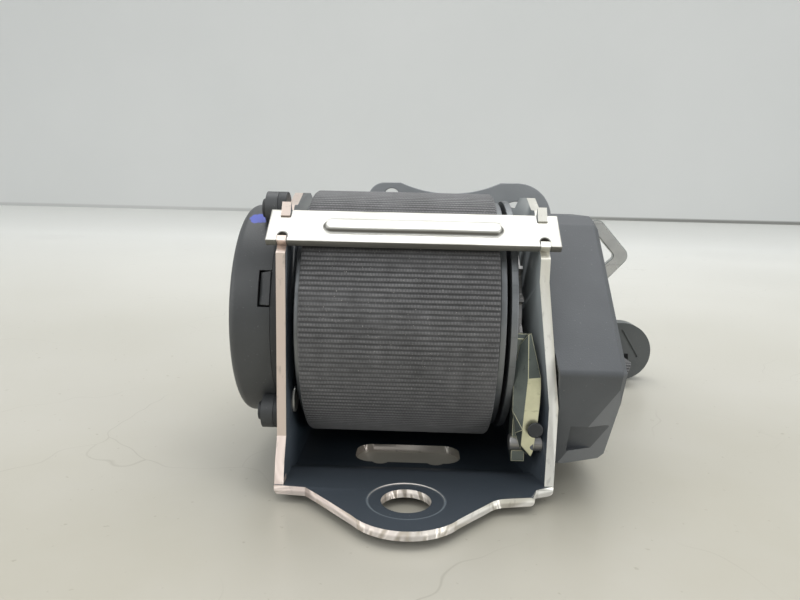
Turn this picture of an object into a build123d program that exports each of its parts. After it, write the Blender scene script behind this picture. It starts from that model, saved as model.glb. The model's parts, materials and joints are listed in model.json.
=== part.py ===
from build123d import *
from math import asin, atan2, cos, degrees, hypot, radians, sin
import os

# Seat-belt retractor, lying on the back of its frame, in millimetres.
# X runs across the webbing, Y from the bolt tab to the webbing exit, Z away from the base plate.
# The origin is on the axis of the bolt hole, level with the underside of the base plate.

# Webbing, and the room that the spool takes between the walls on each side of it
web_width = 47.0
web_thick = 1.2
left_room = 3.0
right_room = 8.8

# Pressed frame
sheet = 2.2
inner_half = (web_width + left_room + right_room) / 2
frame_back = 73.0
wall_front = 9.5
wall_foot = 5.5
wall_top = 70.0
hump_rise = 3.0
hump_start = 26.0
hump_length = 28.0
hump_slope = 8.0
wall_back_corner = 5.0
flare = 3.9
flare_end = 26.0
flare_low = 24.0
flare_high = 54.0

# Rivet at the foot of the left wall
wall_rivet_y = 20.0
wall_rivet_z = 21.0
wall_rivet_r = 2.5
wall_rivet_head = 0.7

# Bolt tab, raised from the base by a shallow step
tab_rise = 2.0
step_start = 17.5
step_length = 4.0
bolt_hole_r = 5.8
coin_r = 8.9
coin_depth = 0.2
nose_r = 14.2
nose_half = 11.6
shoulder_x = 21.0
shoulder_y = 1.8
shoulder_r = 6.0

# Slot in the base plate
slot_margin = 9.2
slot_length = web_width - 2 * slot_margin
slot_width = 12.4
slot_y = 32.0
slot_corner = 4.5
slot_bump_r = 2.4
slot_bump_x = 7.4

# Spool axis and the wound webbing
axis_y = 40.5
axis_z = 41.0
web_x = (left_room - right_room) / 2
roll_r = 33.4
drum_r = 15.0
run_gap = 0.3
bore_fit = 0.05

# Spool flanges, journals and locking wheel
left_flange_r = 29.5
left_flange_thick = 1.2
right_flange_r = 30.5
right_flange_thick = 1.6
groove_width = 0.9
groove_r = 22.0
outer_ring_r = 31.0
outer_ring_thick = 1.7
journal_r = 6.0
boss_r = 9.0
ratchet_tip_r = 22.5
ratchet_root_r = 19.6
ratchet_thick = 2.6
ratchet_teeth = 16
ratchet_tooth_turn = 11.0
bar_r = 4.0
bar_end_r = 3.0
square_side = 5.2
pin_r = 2.4
pin_offset = 9.6

# Bushes
bush_wall = 1.4
bush_flange_r = 10.0
bush_flange = 0.9

# Tie bar across the walls
bar_tilt = 41.4
bar_distance = 34.2
bar_shift = -3.7
bar_overhang = 2.6
bar_length = 2 * (inner_half + sheet + bar_overhang)
bar_width = 10.3
bar_thick = 2.4
bead_margin = 8.6
bead_length = 2 * (inner_half - bead_margin)
bead_width = 3.6
bead_rise = 0.7
notch_depth = 2.6
prong_gap = 0.15
prong_rise = 1.5

# Spring side
spring_base_thick = 2.2
spring_r = 28.5
spring_depth = 9.4
shell = 1.6
rim_r = 2.2
ear_r = 4.2
ear_hole_r = 1.6
spiral_turns = 7
spiral_strip = 0.5
spiral_start = 7.2
spiral_room = 1.5
spiral_pitch = (spring_r - shell - spiral_room - spiral_start) / spiral_turns
spiral_height = 5.5
arbor_r = 6.4
ear_height = 3.0
snap_angle = 161.0
snap_width = 9.0
snap_height = 3.0

# Lock pawl
pawl_pivot_y = 14.0
pawl_pivot_z = 13.5
pawl_pin_r = 2.0
pawl_thick = 3.2
pawl_pad = 2.2
pawl_pad_depth = 3.0
pawl_tooth_gap = 0.9
pawl_top_z = 41.0
pawl_face_low = 15.5
lug_width = 1.2
lug_depth = 2.0
lug_height = 5.5
lug_step = 0.7
lug_drop = 0.6
pawl_top_set = 3.6
pawl_top_thick = 1.4
tooth_back = 2.4
tooth_rise = 1.6
tooth_under = 10.0
strip_gap = 4.0
wing_width = 2.0
wing_thick = 2.0
pawl_face_high = 30.0
pawl_front_set = 0.8
pawl_tooth_y = 17.5
pawl_tooth_z = 36.5
knob_r = 1.9
knob_height = 0.9
knob_z = 18.2

# Locking mechanism side
cover_depth = 18.9
cover_right = inner_half + sheet + cover_depth
nose_y = 6.0
nose_z = 33.5
low_y = 16.5
low_z = 7.0
shoulder_top_y = 40.5
shoulder_top_z = 66.1
cover_top = 68.3
cover_top_y = 46.0
cover_back = 74.0
cover_corner = 1.6
facet_top = 32.0
facet_in_x = 7.2
facet_in_z = 18.3
facet_low_y = 22.0
pocket_left = 7.3
pocket_low = 11.4
pocket_high = 18.6
pocket_depth = 2.6
pocket_corner = 1.2
cover_chamfer = 1.4
screw_inset = 5.0
screw_low_z = 13.0
screw_front_y = 27.0
gear_tip_r = 15.4
gear_root_r = 14.2
gear_teeth = 30
gear_thick = 3.0
hub_r = 6.5
hub_length = 8.0
disc_r = 12.8
disc_thick = 2.6
disc_lobe = 1.6
ball_r = 4.0
ball_from_gear = 7.1
ball_y = 17.5
ball_z = 29.5
sensor_wall = 1.3
lever_thick = 1.2
lever_arm = 9.0
lever_pin_r = 0.8
screw_r = 1.5
screw_head_r = 2.9
rivet_head_r = 2.4
screw_head = 1.6

# Webbing guide at the exit
guide_length = 6.0
guide_height = 11.0
guide_lip = 1.5
exit_z = 6.9

# Folded webbing behind the frame
bundle_depth = 16.5
bundle_left = -45.0
bundle_right = 50.0
floor_gap = 0.2

# Anchor plate
anchor_y = 77.6
anchor_thick = 2.5
eye_x = 33.5
eye_z = 66.2
eye_r = 11.5
anchor_bolt_r = 5.5
slot_mid_x = 0.5
slot_mid_z = 50.0
anchor_corner_r = 5.5
anchor_half = web_width / 2 + 0.5
anchor_slot = 5.0
waist_r = 40.0
waist_depth = 3.5
anchor_slot_shift = 2.6
sewn_length = 28.0

# Tongue
tongue_corner_x = 80.2
tongue_corner_z = 52.6
tongue_turn = 42.0
blade_thick = 2.6
blade_tip = 19.0
blade_root = 25.0
blade_length = 28.5
blade_corner = 3.4
blade_window = 11.6
blade_window_length = 11.0
blade_window_edge = 4.4
body_thick = 8.0
body_margin = 7.5
body_span = web_width + 2 * body_margin
body_length = 20.0
shoulder_half = web_width / 2 + 2.6
shoulder_length = 14.0
shoulder_corner = 4.0
tongue_slot = 3.4
slot_play = 1.0

# Pillar loop, standing on its long edge
pillar_front = 121.5
pillar_thick = 7.0
pillar_end_x = 85.5
pillar_end_r = 11.8
pillar_span = web_width - 4.0
eye_offset_x = -27.0
eye_rise = 23.0
pillar_eye_r = 13.0
pillar_bolt_r = 5.5
pillar_slot = 4.4
pillar_slot_z = 9.0
plate_thick = 3.0
plate_inset = 3.2
groove_depth = 0.6
groove_length = 13.0
groove_turn = -58.0

# Loose end of the webbing behind, with the stop button
tail_rise_start = 109.0
tail_rise_end = 113.5
tail_fall_start = 141.0
tail_fall_end = 146.0
tail_end = 158.0
button_r = 5.5
button_thick = 4.0
button_y = 134.5

wall_outer = inner_half + sheet
axis_plane = Plane(origin=(0, axis_y, axis_z), x_dir=(0, 1, 0), z_dir=(1, 0, 0))
bundle_front = anchor_y + anchor_thick + 2 * run_gap + web_thick
bundle_back = bundle_front + bundle_depth
slot_clear = web_width / 2 + slot_play


def across(x):
    """Sketch plane square to the spool axis, centred on it, at a distance x along it."""
    return axis_plane.offset(x)


def side(x):
    """Sketch plane whose own x and y are the part's Y and Z, at a distance x."""
    return Plane.YZ.offset(x)


def upright(y):
    """Sketch plane whose own x and y are the part's X and Z, at a distance y, facing the tab."""
    return Plane.XZ.offset(-y)


# Tie bar line: its middle on the underside, and the directions along its width and out of it
along_bar = (cos(radians(bar_tilt)), sin(radians(bar_tilt)))
out_of_bar = (-sin(radians(bar_tilt)), cos(radians(bar_tilt)))
bar_mid_y = axis_y + bar_distance * out_of_bar[0] + bar_shift * along_bar[0]
bar_mid_z = axis_z + bar_distance * out_of_bar[1] + bar_shift * along_bar[1]
bar_plane = Plane(
    origin=(0, bar_mid_y, bar_mid_z),
    x_dir=(1, 0, 0),
    z_dir=(0, out_of_bar[0], out_of_bar[1]),
)


def chamfer_at_y(y):
    """Height of the tie bar's underside line at a distance y from the bolt hole."""
    return bar_mid_z + (y - bar_mid_y) * along_bar[1] / along_bar[0]


def chamfer_at_z(z):
    """Distance from the bolt hole where the tie bar's underside line reaches height z."""
    return bar_mid_y + (z - bar_mid_z) * along_bar[0] / along_bar[1]


step_end = step_start + step_length
wall_outline = [
    (wall_foot, tab_rise),
    (wall_foot + 1.6, tab_rise + 7.5),
    (wall_front, tab_rise + 13.0),
    (wall_front, chamfer_at_y(wall_front)),
    (chamfer_at_z(wall_top), wall_top),
    (hump_start, wall_top),
    (hump_start + hump_slope, wall_top + hump_rise),
    (hump_start + hump_length - hump_slope, wall_top + hump_rise),
    (hump_start + hump_length, wall_top),
    (frame_back - wall_back_corner, wall_top),
    (frame_back, wall_top - wall_back_corner),
    (frame_back, 0),
    (step_end, 0),
    (step_start, tab_rise),
]
prong_width = notch_depth - prong_gap
prong_reach = bar_width / 2 - prong_width / 2
wall_bore_r = journal_r + bore_fit + bush_wall + bore_fit


def flare_wedge(face_x):
    """Solid between a wall face at face_x and the same face set outwards at its lower front."""
    fold = Plane(
        Face(
            Wire.make_polygon(
                [
                    (face_x + flare, wall_front, flare_low),
                    (face_x, flare_end, flare_low),
                    (face_x, wall_front, flare_high),
                ]
            )
        )
    )
    with BuildPart() as wedge:
        with BuildSketch(Plane.XY):
            with BuildLine():
                Polyline(
                    (face_x, wall_front), (face_x + flare, wall_front), (face_x, flare_end), close=True
                )
            make_face()
        extrude(amount=flare_high)
        split(bisect_by=fold, keep=Keep.BOTTOM if fold.z_dir.Z > 0 else Keep.TOP)
    return wedge.part


outer_flare = flare_wedge(wall_outer)
inner_flare = flare_wedge(inner_half)

# Base plate with the raised bolt tab: its side profile, cut to its outline in plan
with BuildPart() as base_plate:
    with BuildSketch(side(-wall_outer - flare)):
        with BuildLine():
            Polyline(
                (-nose_r - 1, tab_rise),
                (step_start, tab_rise),
                (step_end, 0),
                (frame_back, 0),
                (frame_back, sheet),
                (step_end, sheet),
                (step_start, tab_rise + sheet),
                (-nose_r - 1, tab_rise + sheet),
                close=True,
            )
        make_face()
    extrude(amount=2 * (wall_outer + flare))
    with BuildSketch(Plane.XY) as plan:
        with BuildLine():
            nose_y_side = -((nose_r**2 - nose_half**2) ** 0.5)
            ThreePointArc((-nose_half, nose_y_side), (0, -nose_r), (nose_half, nose_y_side))
            Polyline(
                (nose_half, nose_y_side),
                (shoulder_x, shoulder_y),
                (inner_half + 0.6, shoulder_y + 1.6),
                (inner_half + 1.6, wall_foot + 1.8),
                (wall_outer + flare, wall_front),
                (wall_outer, flare_end),
                (wall_outer, frame_back),
                (-wall_outer, frame_back),
                (-wall_outer, wall_foot),
                (-shoulder_x - 3.0, shoulder_y + 3.0),
                (-shoulder_x, shoulder_y),
                (-nose_half, nose_y_side),
            )
        make_face()
        shoulders = plan.vertices().filter_by_position(Axis.Y, shoulder_y - 0.1, shoulder_y + 0.1)
        fillet(shoulders, shoulder_r)
    extrude(amount=tab_rise + 2 * sheet, mode=Mode.INTERSECT)

# Frame: one pressed channel of thick sheet, with the bolt tab at its foot
with BuildPart() as frame:
    with BuildSketch(side(-wall_outer)):
        with BuildLine():
            Polyline(*wall_outline, close=True)
        make_face()
    extrude(amount=sheet)
    # Right wall, its lower front set outwards to clear the pawl
    with BuildSketch(side(inner_half)):
        with BuildLine():
            Polyline((wall_front, tab_rise), *wall_outline[3:], close=True)
        make_face()
    extrude(amount=sheet)
    add(outer_flare)
    add(inner_flare, mode=Mode.SUBTRACT)
    add(base_plate.part)
    # Two prongs on each wall, up through the notches of the tie bar
    for wall_x in (-wall_outer, inner_half):
        for end in (-1, 1):
            with BuildSketch(bar_plane.offset(-sheet)):
                with Locations((wall_x + sheet / 2, end * prong_reach)):
                    Rectangle(sheet, prong_width)
            extrude(amount=sheet + bar_thick + prong_rise)
    # Space under the raised tab stays open below the flared wall
    with BuildSketch(side(-wall_outer - flare)):
        with BuildLine():
            Polyline((-nose_r - 1, 0), (step_end, 0), (step_start, tab_rise), (-nose_r - 1, tab_rise),
                     close=True)
        make_face()
    extrude(amount=2 * (wall_outer + flare), mode=Mode.SUBTRACT)
    # Spool bores
    with BuildSketch(across(-wall_outer)):
        Circle(wall_bore_r)
    extrude(amount=2 * wall_outer, mode=Mode.SUBTRACT)
    # Pawl pin hole in the flared wall
    with BuildSketch(side(inner_half - sheet)):
        with Locations((pawl_pivot_y, pawl_pivot_z)):
            Circle(pawl_pin_r + bore_fit)
    extrude(amount=flare + 3 * sheet, mode=Mode.SUBTRACT)
    # Rivet hole at the foot of the left wall
    with BuildSketch(side(-wall_outer)):
        with Locations((wall_rivet_y, wall_rivet_z)):
            Circle(wall_rivet_r + bore_fit)
    extrude(amount=sheet, mode=Mode.SUBTRACT)
    # Bolt hole, its coined ring and the slot in the base
    with BuildSketch(Plane.XY.offset(tab_rise + sheet)):
        Circle(coin_r)
    extrude(amount=-coin_depth, mode=Mode.SUBTRACT)
    with BuildSketch(Plane.XY.offset(tab_rise)):
        Circle(bolt_hole_r)
    extrude(amount=sheet, mode=Mode.SUBTRACT)
    with BuildSketch(Plane.XY):
        with Locations((0, slot_y)):
            RectangleRounded(slot_length, slot_width, slot_corner)
        with Locations(
            (-slot_bump_x, slot_y - slot_width / 2 + slot_bump_r / 2),
            (slot_bump_x, slot_y - slot_width / 2 + slot_bump_r / 2),
        ):
            Circle(slot_bump_r)
    extrude(amount=sheet, mode=Mode.SUBTRACT)
frame.part.label = "frame"

with BuildPart() as wall_rivet:
    with BuildSketch(side(-wall_outer)):
        with Locations((wall_rivet_y, wall_rivet_z)):
            Circle(wall_rivet_r)
    extrude(amount=sheet)
    with BuildSketch(side(-inner_half)):
        with Locations((wall_rivet_y, wall_rivet_z)):
            Circle(wall_rivet_r + 0.8)
    extrude(amount=wall_rivet_head)
wall_rivet.part.label = "wall_rivet"

# Tie bar: a flat zinc-plated strip with a stiffening bead, staked over the prongs
with BuildPart() as tie_bar:
    with BuildSketch(bar_plane):
        Rectangle(bar_length, bar_width)
        with Locations(
            *[
                (x, end * (bar_width - notch_depth) / 2)
                for x in (-inner_half - sheet / 2, inner_half + sheet / 2)
                for end in (-1, 1)
            ]
        ):
            Rectangle(sheet + 2 * prong_gap, notch_depth, mode=Mode.SUBTRACT)
    extrude(amount=bar_thick)
    with BuildSketch(bar_plane.offset(bar_thick)):
        SlotOverall(bead_length, bead_width)
    extrude(amount=bead_rise, taper=40)
tie_bar.part.label = "tie_bar"

# Where the pieces lie along the spool axis
web_left = web_x - web_width / 2
web_right = web_x + web_width / 2
left_flange_x = web_left - run_gap - left_flange_thick
right_flange_x = web_right + run_gap
outer_ring_x = right_flange_x + right_flange_thick + groove_width
ratchet_x = outer_ring_x + outer_ring_thick
ratchet_end = ratchet_x + ratchet_thick
journal_end = wall_outer + bush_flange

# Spool: die-cast drum with two flanges, a second ring outside the right one and a journal each end
with BuildPart() as spool:
    with BuildSketch(across(left_flange_x)):
        Circle(left_flange_r)
    extrude(amount=left_flange_thick)
    with BuildSketch(across(left_flange_x)):
        Circle(drum_r)
    extrude(amount=ratchet_x - left_flange_x)
    with BuildSketch(across(right_flange_x)):
        Circle(right_flange_r)
    extrude(amount=right_flange_thick)
    with BuildSketch(across(right_flange_x)):
        Circle(groove_r)
    extrude(amount=ratchet_x - right_flange_x)
    with BuildSketch(across(outer_ring_x)):
        Circle(outer_ring_r)
    extrude(amount=outer_ring_thick)
    with BuildSketch(across(ratchet_x)):
        Circle(boss_r)
    extrude(amount=ratchet_thick)
    with BuildSketch(across(-journal_end)):
        Circle(journal_r)
    extrude(amount=2 * journal_end)
    # Bore for the torsion bar and pocket for the webbing pin
    with BuildSketch(across(-journal_end)):
        Circle(bar_r + bore_fit)
    extrude(amount=2 * journal_end, mode=Mode.SUBTRACT)
    with BuildSketch(across(left_flange_x)):
        with Locations((0, pin_offset)):
            Circle(pin_r + run_gap)
    extrude(amount=web_right - left_flange_x, mode=Mode.SUBTRACT)
spool.part.label = "spool"

# Torsion bar: square end for the spring arbor, long round bar, thinner end for the lock gear
gear_x = wall_outer + bush_flange + 2.4
ball_x = gear_x + ball_from_gear
bar_left = -wall_outer - spring_base_thick - spring_depth + shell + 1.0
bar_right = gear_x + hub_length + 1.2
with BuildPart() as torsion_bar:
    with BuildSketch(across(-journal_end)):
        Circle(bar_r)
    extrude(amount=2 * journal_end)
    with BuildSketch(across(bar_left)):
        Rectangle(square_side, square_side)
    extrude(amount=-journal_end - bar_left)
    with BuildSketch(across(journal_end)):
        Circle(bar_end_r)
    extrude(amount=bar_right - journal_end)
torsion_bar.part.label = "torsion_bar"

# Webbing wound on the drum, as one plain ring
with BuildPart() as webbing_roll:
    with BuildSketch(across(web_left)):
        Circle(roll_r)
        Circle(drum_r + bore_fit, mode=Mode.SUBTRACT)
    extrude(amount=web_width)
webbing_roll.part.label = "webbing_roll"

# Pin that holds the sewn end of the webbing in the drum
with BuildPart() as webbing_pin:
    with BuildSketch(across(left_flange_x + left_flange_thick)):
        with Locations((0, pin_offset)):
            Circle(pin_r)
    extrude(amount=web_width - 2 * run_gap)
    chamfer(webbing_pin.edges().filter_by(GeomType.CIRCLE), 0.5)
webbing_pin.part.label = "webbing_pin"

# Direction from the spool axis to the pawl's tooth, which meets a gap between two teeth
pawl_tooth_angle = degrees(atan2(pawl_tooth_z - axis_z, pawl_tooth_y - axis_y))
tooth_step = 360 / ratchet_teeth
first_tooth = pawl_tooth_angle - tooth_step / 4


def saw_tooth(root_r, tip_r, angle, width):
    """Corners of one saw tooth: a sloping back, then a steep face at angle, its foot in the wheel."""
    corners = []
    for radius, turn in ((root_r - 1.5, -1), (tip_r, -0.25), (tip_r, 0), (root_r - 1.5, 0)):
        bearing = radians(angle + turn * width)
        corners.append((radius * cos(bearing), radius * sin(bearing)))
    return corners


# Ratchet wheel of the spool, pressed on its boss
with BuildPart() as ratchet_ring:
    with BuildSketch(across(ratchet_x + bore_fit)):
        Circle(ratchet_root_r)
        for tooth in range(ratchet_teeth):
            with BuildLine():
                Polyline(
                    *saw_tooth(ratchet_root_r, ratchet_tip_r, first_tooth + tooth * tooth_step, ratchet_tooth_turn),
                    close=True,
                )
            make_face()
        Circle(boss_r + bore_fit, mode=Mode.SUBTRACT)
    extrude(amount=ratchet_thick)
ratchet_ring.part.label = "ratchet_ring"

# Flanged plastic bushes that carry the journals in the walls
bush_r = journal_r + bore_fit + bush_wall
with BuildPart() as left_bush:
    with BuildSketch(across(-inner_half)):
        Circle(bush_r)
    extrude(amount=-sheet - bush_flange)
    with BuildSketch(across(-wall_outer)):
        Circle(bush_flange_r)
    extrude(amount=-bush_flange)
    with BuildSketch(across(-inner_half)):
        Circle(journal_r + bore_fit)
    extrude(amount=-sheet - bush_flange, mode=Mode.SUBTRACT)
left_bush.part.label = "left_bush"

with BuildPart() as right_bush:
    with BuildSketch(across(inner_half)):
        Circle(bush_r)
    extrude(amount=sheet + bush_flange)
    with BuildSketch(across(wall_outer)):
        Circle(bush_flange_r)
    extrude(amount=bush_flange)
    with BuildSketch(across(inner_half)):
        Circle(journal_r + bore_fit)
    extrude(amount=sheet + bush_flange, mode=Mode.SUBTRACT)
right_bush.part.label = "right_bush"

# Spring side: base plate on the left wall, cover with a rounded rim, three ears
ear_angles = (118, 226, 320)
spring_out = spring_r + 3.2
base_left = -wall_outer - spring_base_thick
cover_outer = base_left - spring_depth
snap_place = (
    (spring_r - shell / 2) * cos(radians(snap_angle)),
    (spring_r - shell / 2) * sin(radians(snap_angle)),
)
ear_places = [
    (spring_out * cos(radians(angle)), spring_out * sin(radians(angle))) for angle in ear_angles
]
with BuildPart() as spring_base:
    with BuildSketch(across(-wall_outer)):
        Circle(spring_r)
        with Locations(*ear_places):
            Circle(ear_r)
        Circle(bush_flange_r + run_gap, mode=Mode.SUBTRACT)
        with Locations(*ear_places):
            Circle(ear_hole_r, mode=Mode.SUBTRACT)
    extrude(amount=-spring_base_thick)
    with BuildSketch(across(base_left)):
        with Locations(snap_place):
            Rectangle(shell + 0.8, snap_width - 2 * run_gap, rotation=snap_angle)
    extrude(amount=-snap_height + run_gap)
spring_base.part.label = "spring_base"

with BuildPart() as spring_cover:
    with BuildSketch(across(base_left)):
        Circle(spring_r)
    extrude(amount=-spring_depth)
    rim = spring_cover.edges().group_by(Axis.X)[0]
    fillet(rim, rim_r)
    with BuildSketch(across(base_left)):
        Circle(spring_r - shell)
    extrude(amount=-spring_depth + shell, mode=Mode.SUBTRACT)
    with BuildSketch(across(base_left)):
        with Locations(*ear_places):
            Circle(ear_r)
        Circle(spring_r - shell / 2, mode=Mode.SUBTRACT)
    extrude(amount=-ear_height)
    with BuildSketch(across(base_left)):
        with Locations(*ear_places):
            Circle(ear_hole_r)
        with Locations(snap_place):
            Rectangle(3 * shell, snap_width, rotation=snap_angle)
    extrude(amount=-ear_height, mode=Mode.SUBTRACT)
spring_cover.part.label = "spring_cover"

spring_rivets = []
for number, place in enumerate(ear_places, start=1):
    with BuildPart() as spring_rivet:
        with BuildSketch(across(-wall_outer)):
            with Locations(place):
                Circle(ear_hole_r - bore_fit)
        extrude(amount=-spring_base_thick - ear_height)
        with BuildSketch(across(base_left - ear_height)):
            with Locations(place):
                Circle(rivet_head_r)
        extrude(amount=-1.2)
    spring_rivet.part.label = f"spring_rivet_{number}"
    spring_rivets.append(spring_rivet.part)

# Arbor on the square of the torsion bar, and the flat spiral spring around it
arbor_x = base_left - 0.8
with BuildPart() as spring_arbor:
    with BuildSketch(across(arbor_x)):
        Circle(arbor_r)
        Rectangle(square_side + 2 * bore_fit, square_side + 2 * bore_fit, mode=Mode.SUBTRACT)
    extrude(amount=-spiral_height)
spring_arbor.part.label = "spring_arbor"


def spiral_points(offset):
    """Ends and tops of the half turns of a spiral whose radius grows by half a pitch each time."""
    points = []
    for half in range(2 * spiral_turns + 1):
        reach = spiral_start + offset + half * spiral_pitch / 2
        points.append((reach if half % 2 == 0 else -reach, 0))
    return points


def spiral_arcs(points):
    """Draws half circles through neighbouring points, above the axis and below it in turn."""
    for half, (start, end) in enumerate(zip(points, points[1:])):
        height = abs(end[0] - start[0]) / 2
        top = ((start[0] + end[0]) / 2, height if half % 2 == 0 else -height)
        ThreePointArc(start, top, end)


with BuildPart() as mainspring:
    with BuildSketch(across(arbor_x)):
        with BuildLine():
            inside = spiral_points(0)
            outside = spiral_points(spiral_strip)
            spiral_arcs(inside)
            spiral_arcs(outside)
            Line(inside[0], outside[0])
            Line(inside[-1], outside[-1])
        make_face()
    extrude(amount=-spiral_height)
mainspring.part.label = "mainspring"

# Lock pawl: a thick pressed lever beside the ratchet wheel, pivoted at its foot
pawl_x = ratchet_x + run_gap
pawl_front = wall_front + pawl_front_set
tooth_radius = ratchet_tip_r + pawl_tooth_gap
tooth_y = axis_y + tooth_radius * cos(radians(pawl_tooth_angle))
tooth_z = axis_z + tooth_radius * sin(radians(pawl_tooth_angle))
with BuildPart() as lock_pawl:
    with BuildSketch(side(pawl_x)) as pawl_face:
        with BuildLine():
            Polyline(
                (pawl_front, pawl_face_low),
                (pawl_front, pawl_face_high),
                (wall_front + pawl_top_set, pawl_top_z),
                (wall_front + pawl_top_set + pawl_top_thick, pawl_top_z),
                (tooth_y - tooth_back, tooth_z + tooth_rise),
                (tooth_y, tooth_z),
                (tooth_y - 1.8, tooth_z - 1.8),
                (tooth_y - 0.9, tooth_z - tooth_under),
                (pawl_pivot_y + 4.6, pawl_pivot_z + 2.0),
                (pawl_pivot_y + 3.4, pawl_pivot_z - 3.4),
                (pawl_pivot_y - 1.0, pawl_pivot_z - 4.6),
                (wall_front + 1.0, pawl_pivot_z - 1.6),
                close=True,
            )
        make_face()
        with Locations((pawl_pivot_y, pawl_pivot_z)):
            Circle(pawl_pin_r + bore_fit, mode=Mode.SUBTRACT)
    extrude(amount=pawl_thick)
    # Raised strip down its front, with a lug beside it for the knob
    with BuildSketch(side(pawl_x + pawl_thick)):
        with BuildLine():
            Polyline(
                (pawl_front, pawl_face_low),
                (pawl_front, pawl_face_high),
                (pawl_front + pawl_pad_depth, pawl_face_high),
                (pawl_front + pawl_pad_depth, pawl_pivot_z + lug_height),
                (pawl_front + lug_step, pawl_pivot_z + strip_gap),
                (pawl_front + lug_step, pawl_face_low),
                close=True,
            )
        make_face()
    extrude(amount=pawl_pad)
    with BuildSketch(side(pawl_x + pawl_thick + pawl_pad)):
        with BuildLine():
            Polyline(
                (pawl_front, pawl_face_low),
                (pawl_front, pawl_face_low + lug_height),
                (pawl_front + lug_depth, pawl_face_low + lug_height),
                (pawl_front + lug_depth, pawl_pivot_z + strip_gap + lug_drop),
                (pawl_front + lug_step, pawl_pivot_z + strip_gap),
                (pawl_front + lug_step, pawl_face_low),
                close=True,
            )
        make_face()
    extrude(amount=lug_width)
    # Sloping wing above the strip, narrowing to the top
    with BuildSketch(side(pawl_x + pawl_thick)):
        with BuildLine():
            Polyline(
                (pawl_front, pawl_face_high),
                (wall_front + pawl_top_set, pawl_top_z),
                (wall_front + pawl_top_set + wing_thick, pawl_top_z),
                (pawl_front + wing_thick, pawl_face_high),
                close=True,
            )
        make_face()
    extrude(amount=wing_width)
    with BuildSketch(upright(pawl_front - 1)):
        with BuildLine():
            Polyline(
                (pawl_x + pawl_thick, pawl_top_z),
                (pawl_x + pawl_thick + wing_width, pawl_face_high),
                (pawl_x + pawl_thick + wing_width, pawl_top_z),
                close=True,
            )
        make_face()
    extrude(amount=-pawl_top_set - 2 * wing_thick, mode=Mode.SUBTRACT)
lock_pawl.part.label = "lock_pawl"

# Plastic knob on the front of the pawl
with BuildPart() as pawl_knob:
    with BuildSketch(upright(pawl_front)):
        with Locations((pawl_x + pawl_thick + pawl_pad - 0.4, knob_z)):
            Circle(knob_r)
    extrude(amount=knob_height)
pawl_knob.part.label = "pawl_knob"

# Pivot pin of the pawl, riveted in the flared wall
pawl_pin_left = pawl_x - 0.6
pawl_pin_top = pawl_pivot_y + pawl_pin_r
pawl_pin_right = wall_outer + flare * (flare_end - pawl_pin_top) / (flare_end - wall_front)
with BuildPart() as pawl_pin:
    with BuildSketch(side(pawl_pin_left)):
        with Locations((pawl_pivot_y, pawl_pivot_z)):
            Circle(pawl_pin_r)
    extrude(amount=pawl_pin_right - pawl_pin_left)
pawl_pin.part.label = "pawl_pin"

# Return spring: one coil on the pin between the pawl and the wall
spring_left = pawl_x + pawl_thick + 0.2
with BuildPart() as pawl_return_spring:
    with BuildSketch(side(spring_left)):
        with Locations((pawl_pivot_y, pawl_pivot_z)):
            Circle(pawl_pin_r + 0.9)
            Circle(pawl_pin_r + 0.2, mode=Mode.SUBTRACT)
    extrude(amount=1.6)
pawl_return_spring.part.label = "pawl_return_spring"

# Outline of the mechanism cover, seen along the spool axis
cover_outline = [
    (nose_y, nose_z),
    (low_y, low_z),
    (cover_back, low_z),
    (cover_back, cover_top - 6.0),
    (cover_back - 6.0, cover_top),
    (cover_top_y, cover_top),
    (shoulder_top_y, shoulder_top_z),
]
skirt_x = wall_outer + run_gap
base_right = gear_x + 1.0


# Room for the flare, cut from the pieces that sit on the right wall
flare_skirt = flare_wedge(skirt_x)
with BuildPart() as flare_room:
    add(flare_skirt)
    with BuildSketch(upright(wall_front)):
        with BuildLine():
            Polyline(
                (inner_half, 0),
                (skirt_x + flare, 0),
                (skirt_x + flare, flare_low),
                (skirt_x, flare_high),
                (inner_half, flare_high),
                close=True,
            )
        make_face()
    extrude(amount=wall_front - nose_y + 1.0)

# Mechanism base plate on the outside of the right wall, behind the flare
with BuildPart() as mechanism_base:
    with BuildSketch(side(wall_outer)) as base_face:
        with BuildLine():
            Polyline(*cover_outline, close=True)
        make_face()
        fillet(base_face.vertices(), cover_corner)
        offset(amount=-shell - run_gap, mode=Mode.REPLACE)
        with Locations((flare_end / 2, flare_high / 2)):
            Rectangle(flare_end + 2 * run_gap, flare_high + cover_top, mode=Mode.SUBTRACT)
        with Locations((axis_y, axis_z)):
            Circle(bush_flange_r + run_gap, mode=Mode.SUBTRACT)
    extrude(amount=base_right - wall_outer)
    # Round well that the lock gear turns in
    with BuildSketch(across(gear_x - 0.6)):
        Circle(gear_tip_r + 0.6)
    extrude(amount=base_right - gear_x + 0.6, mode=Mode.SUBTRACT)
mechanism_base.part.label = "mechanism_base"


def nose_line(z):
    """Distance y of the cover's lower front face at a height z."""
    return nose_y + (low_y - nose_y) * (nose_z - z) / (nose_z - low_z)


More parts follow.
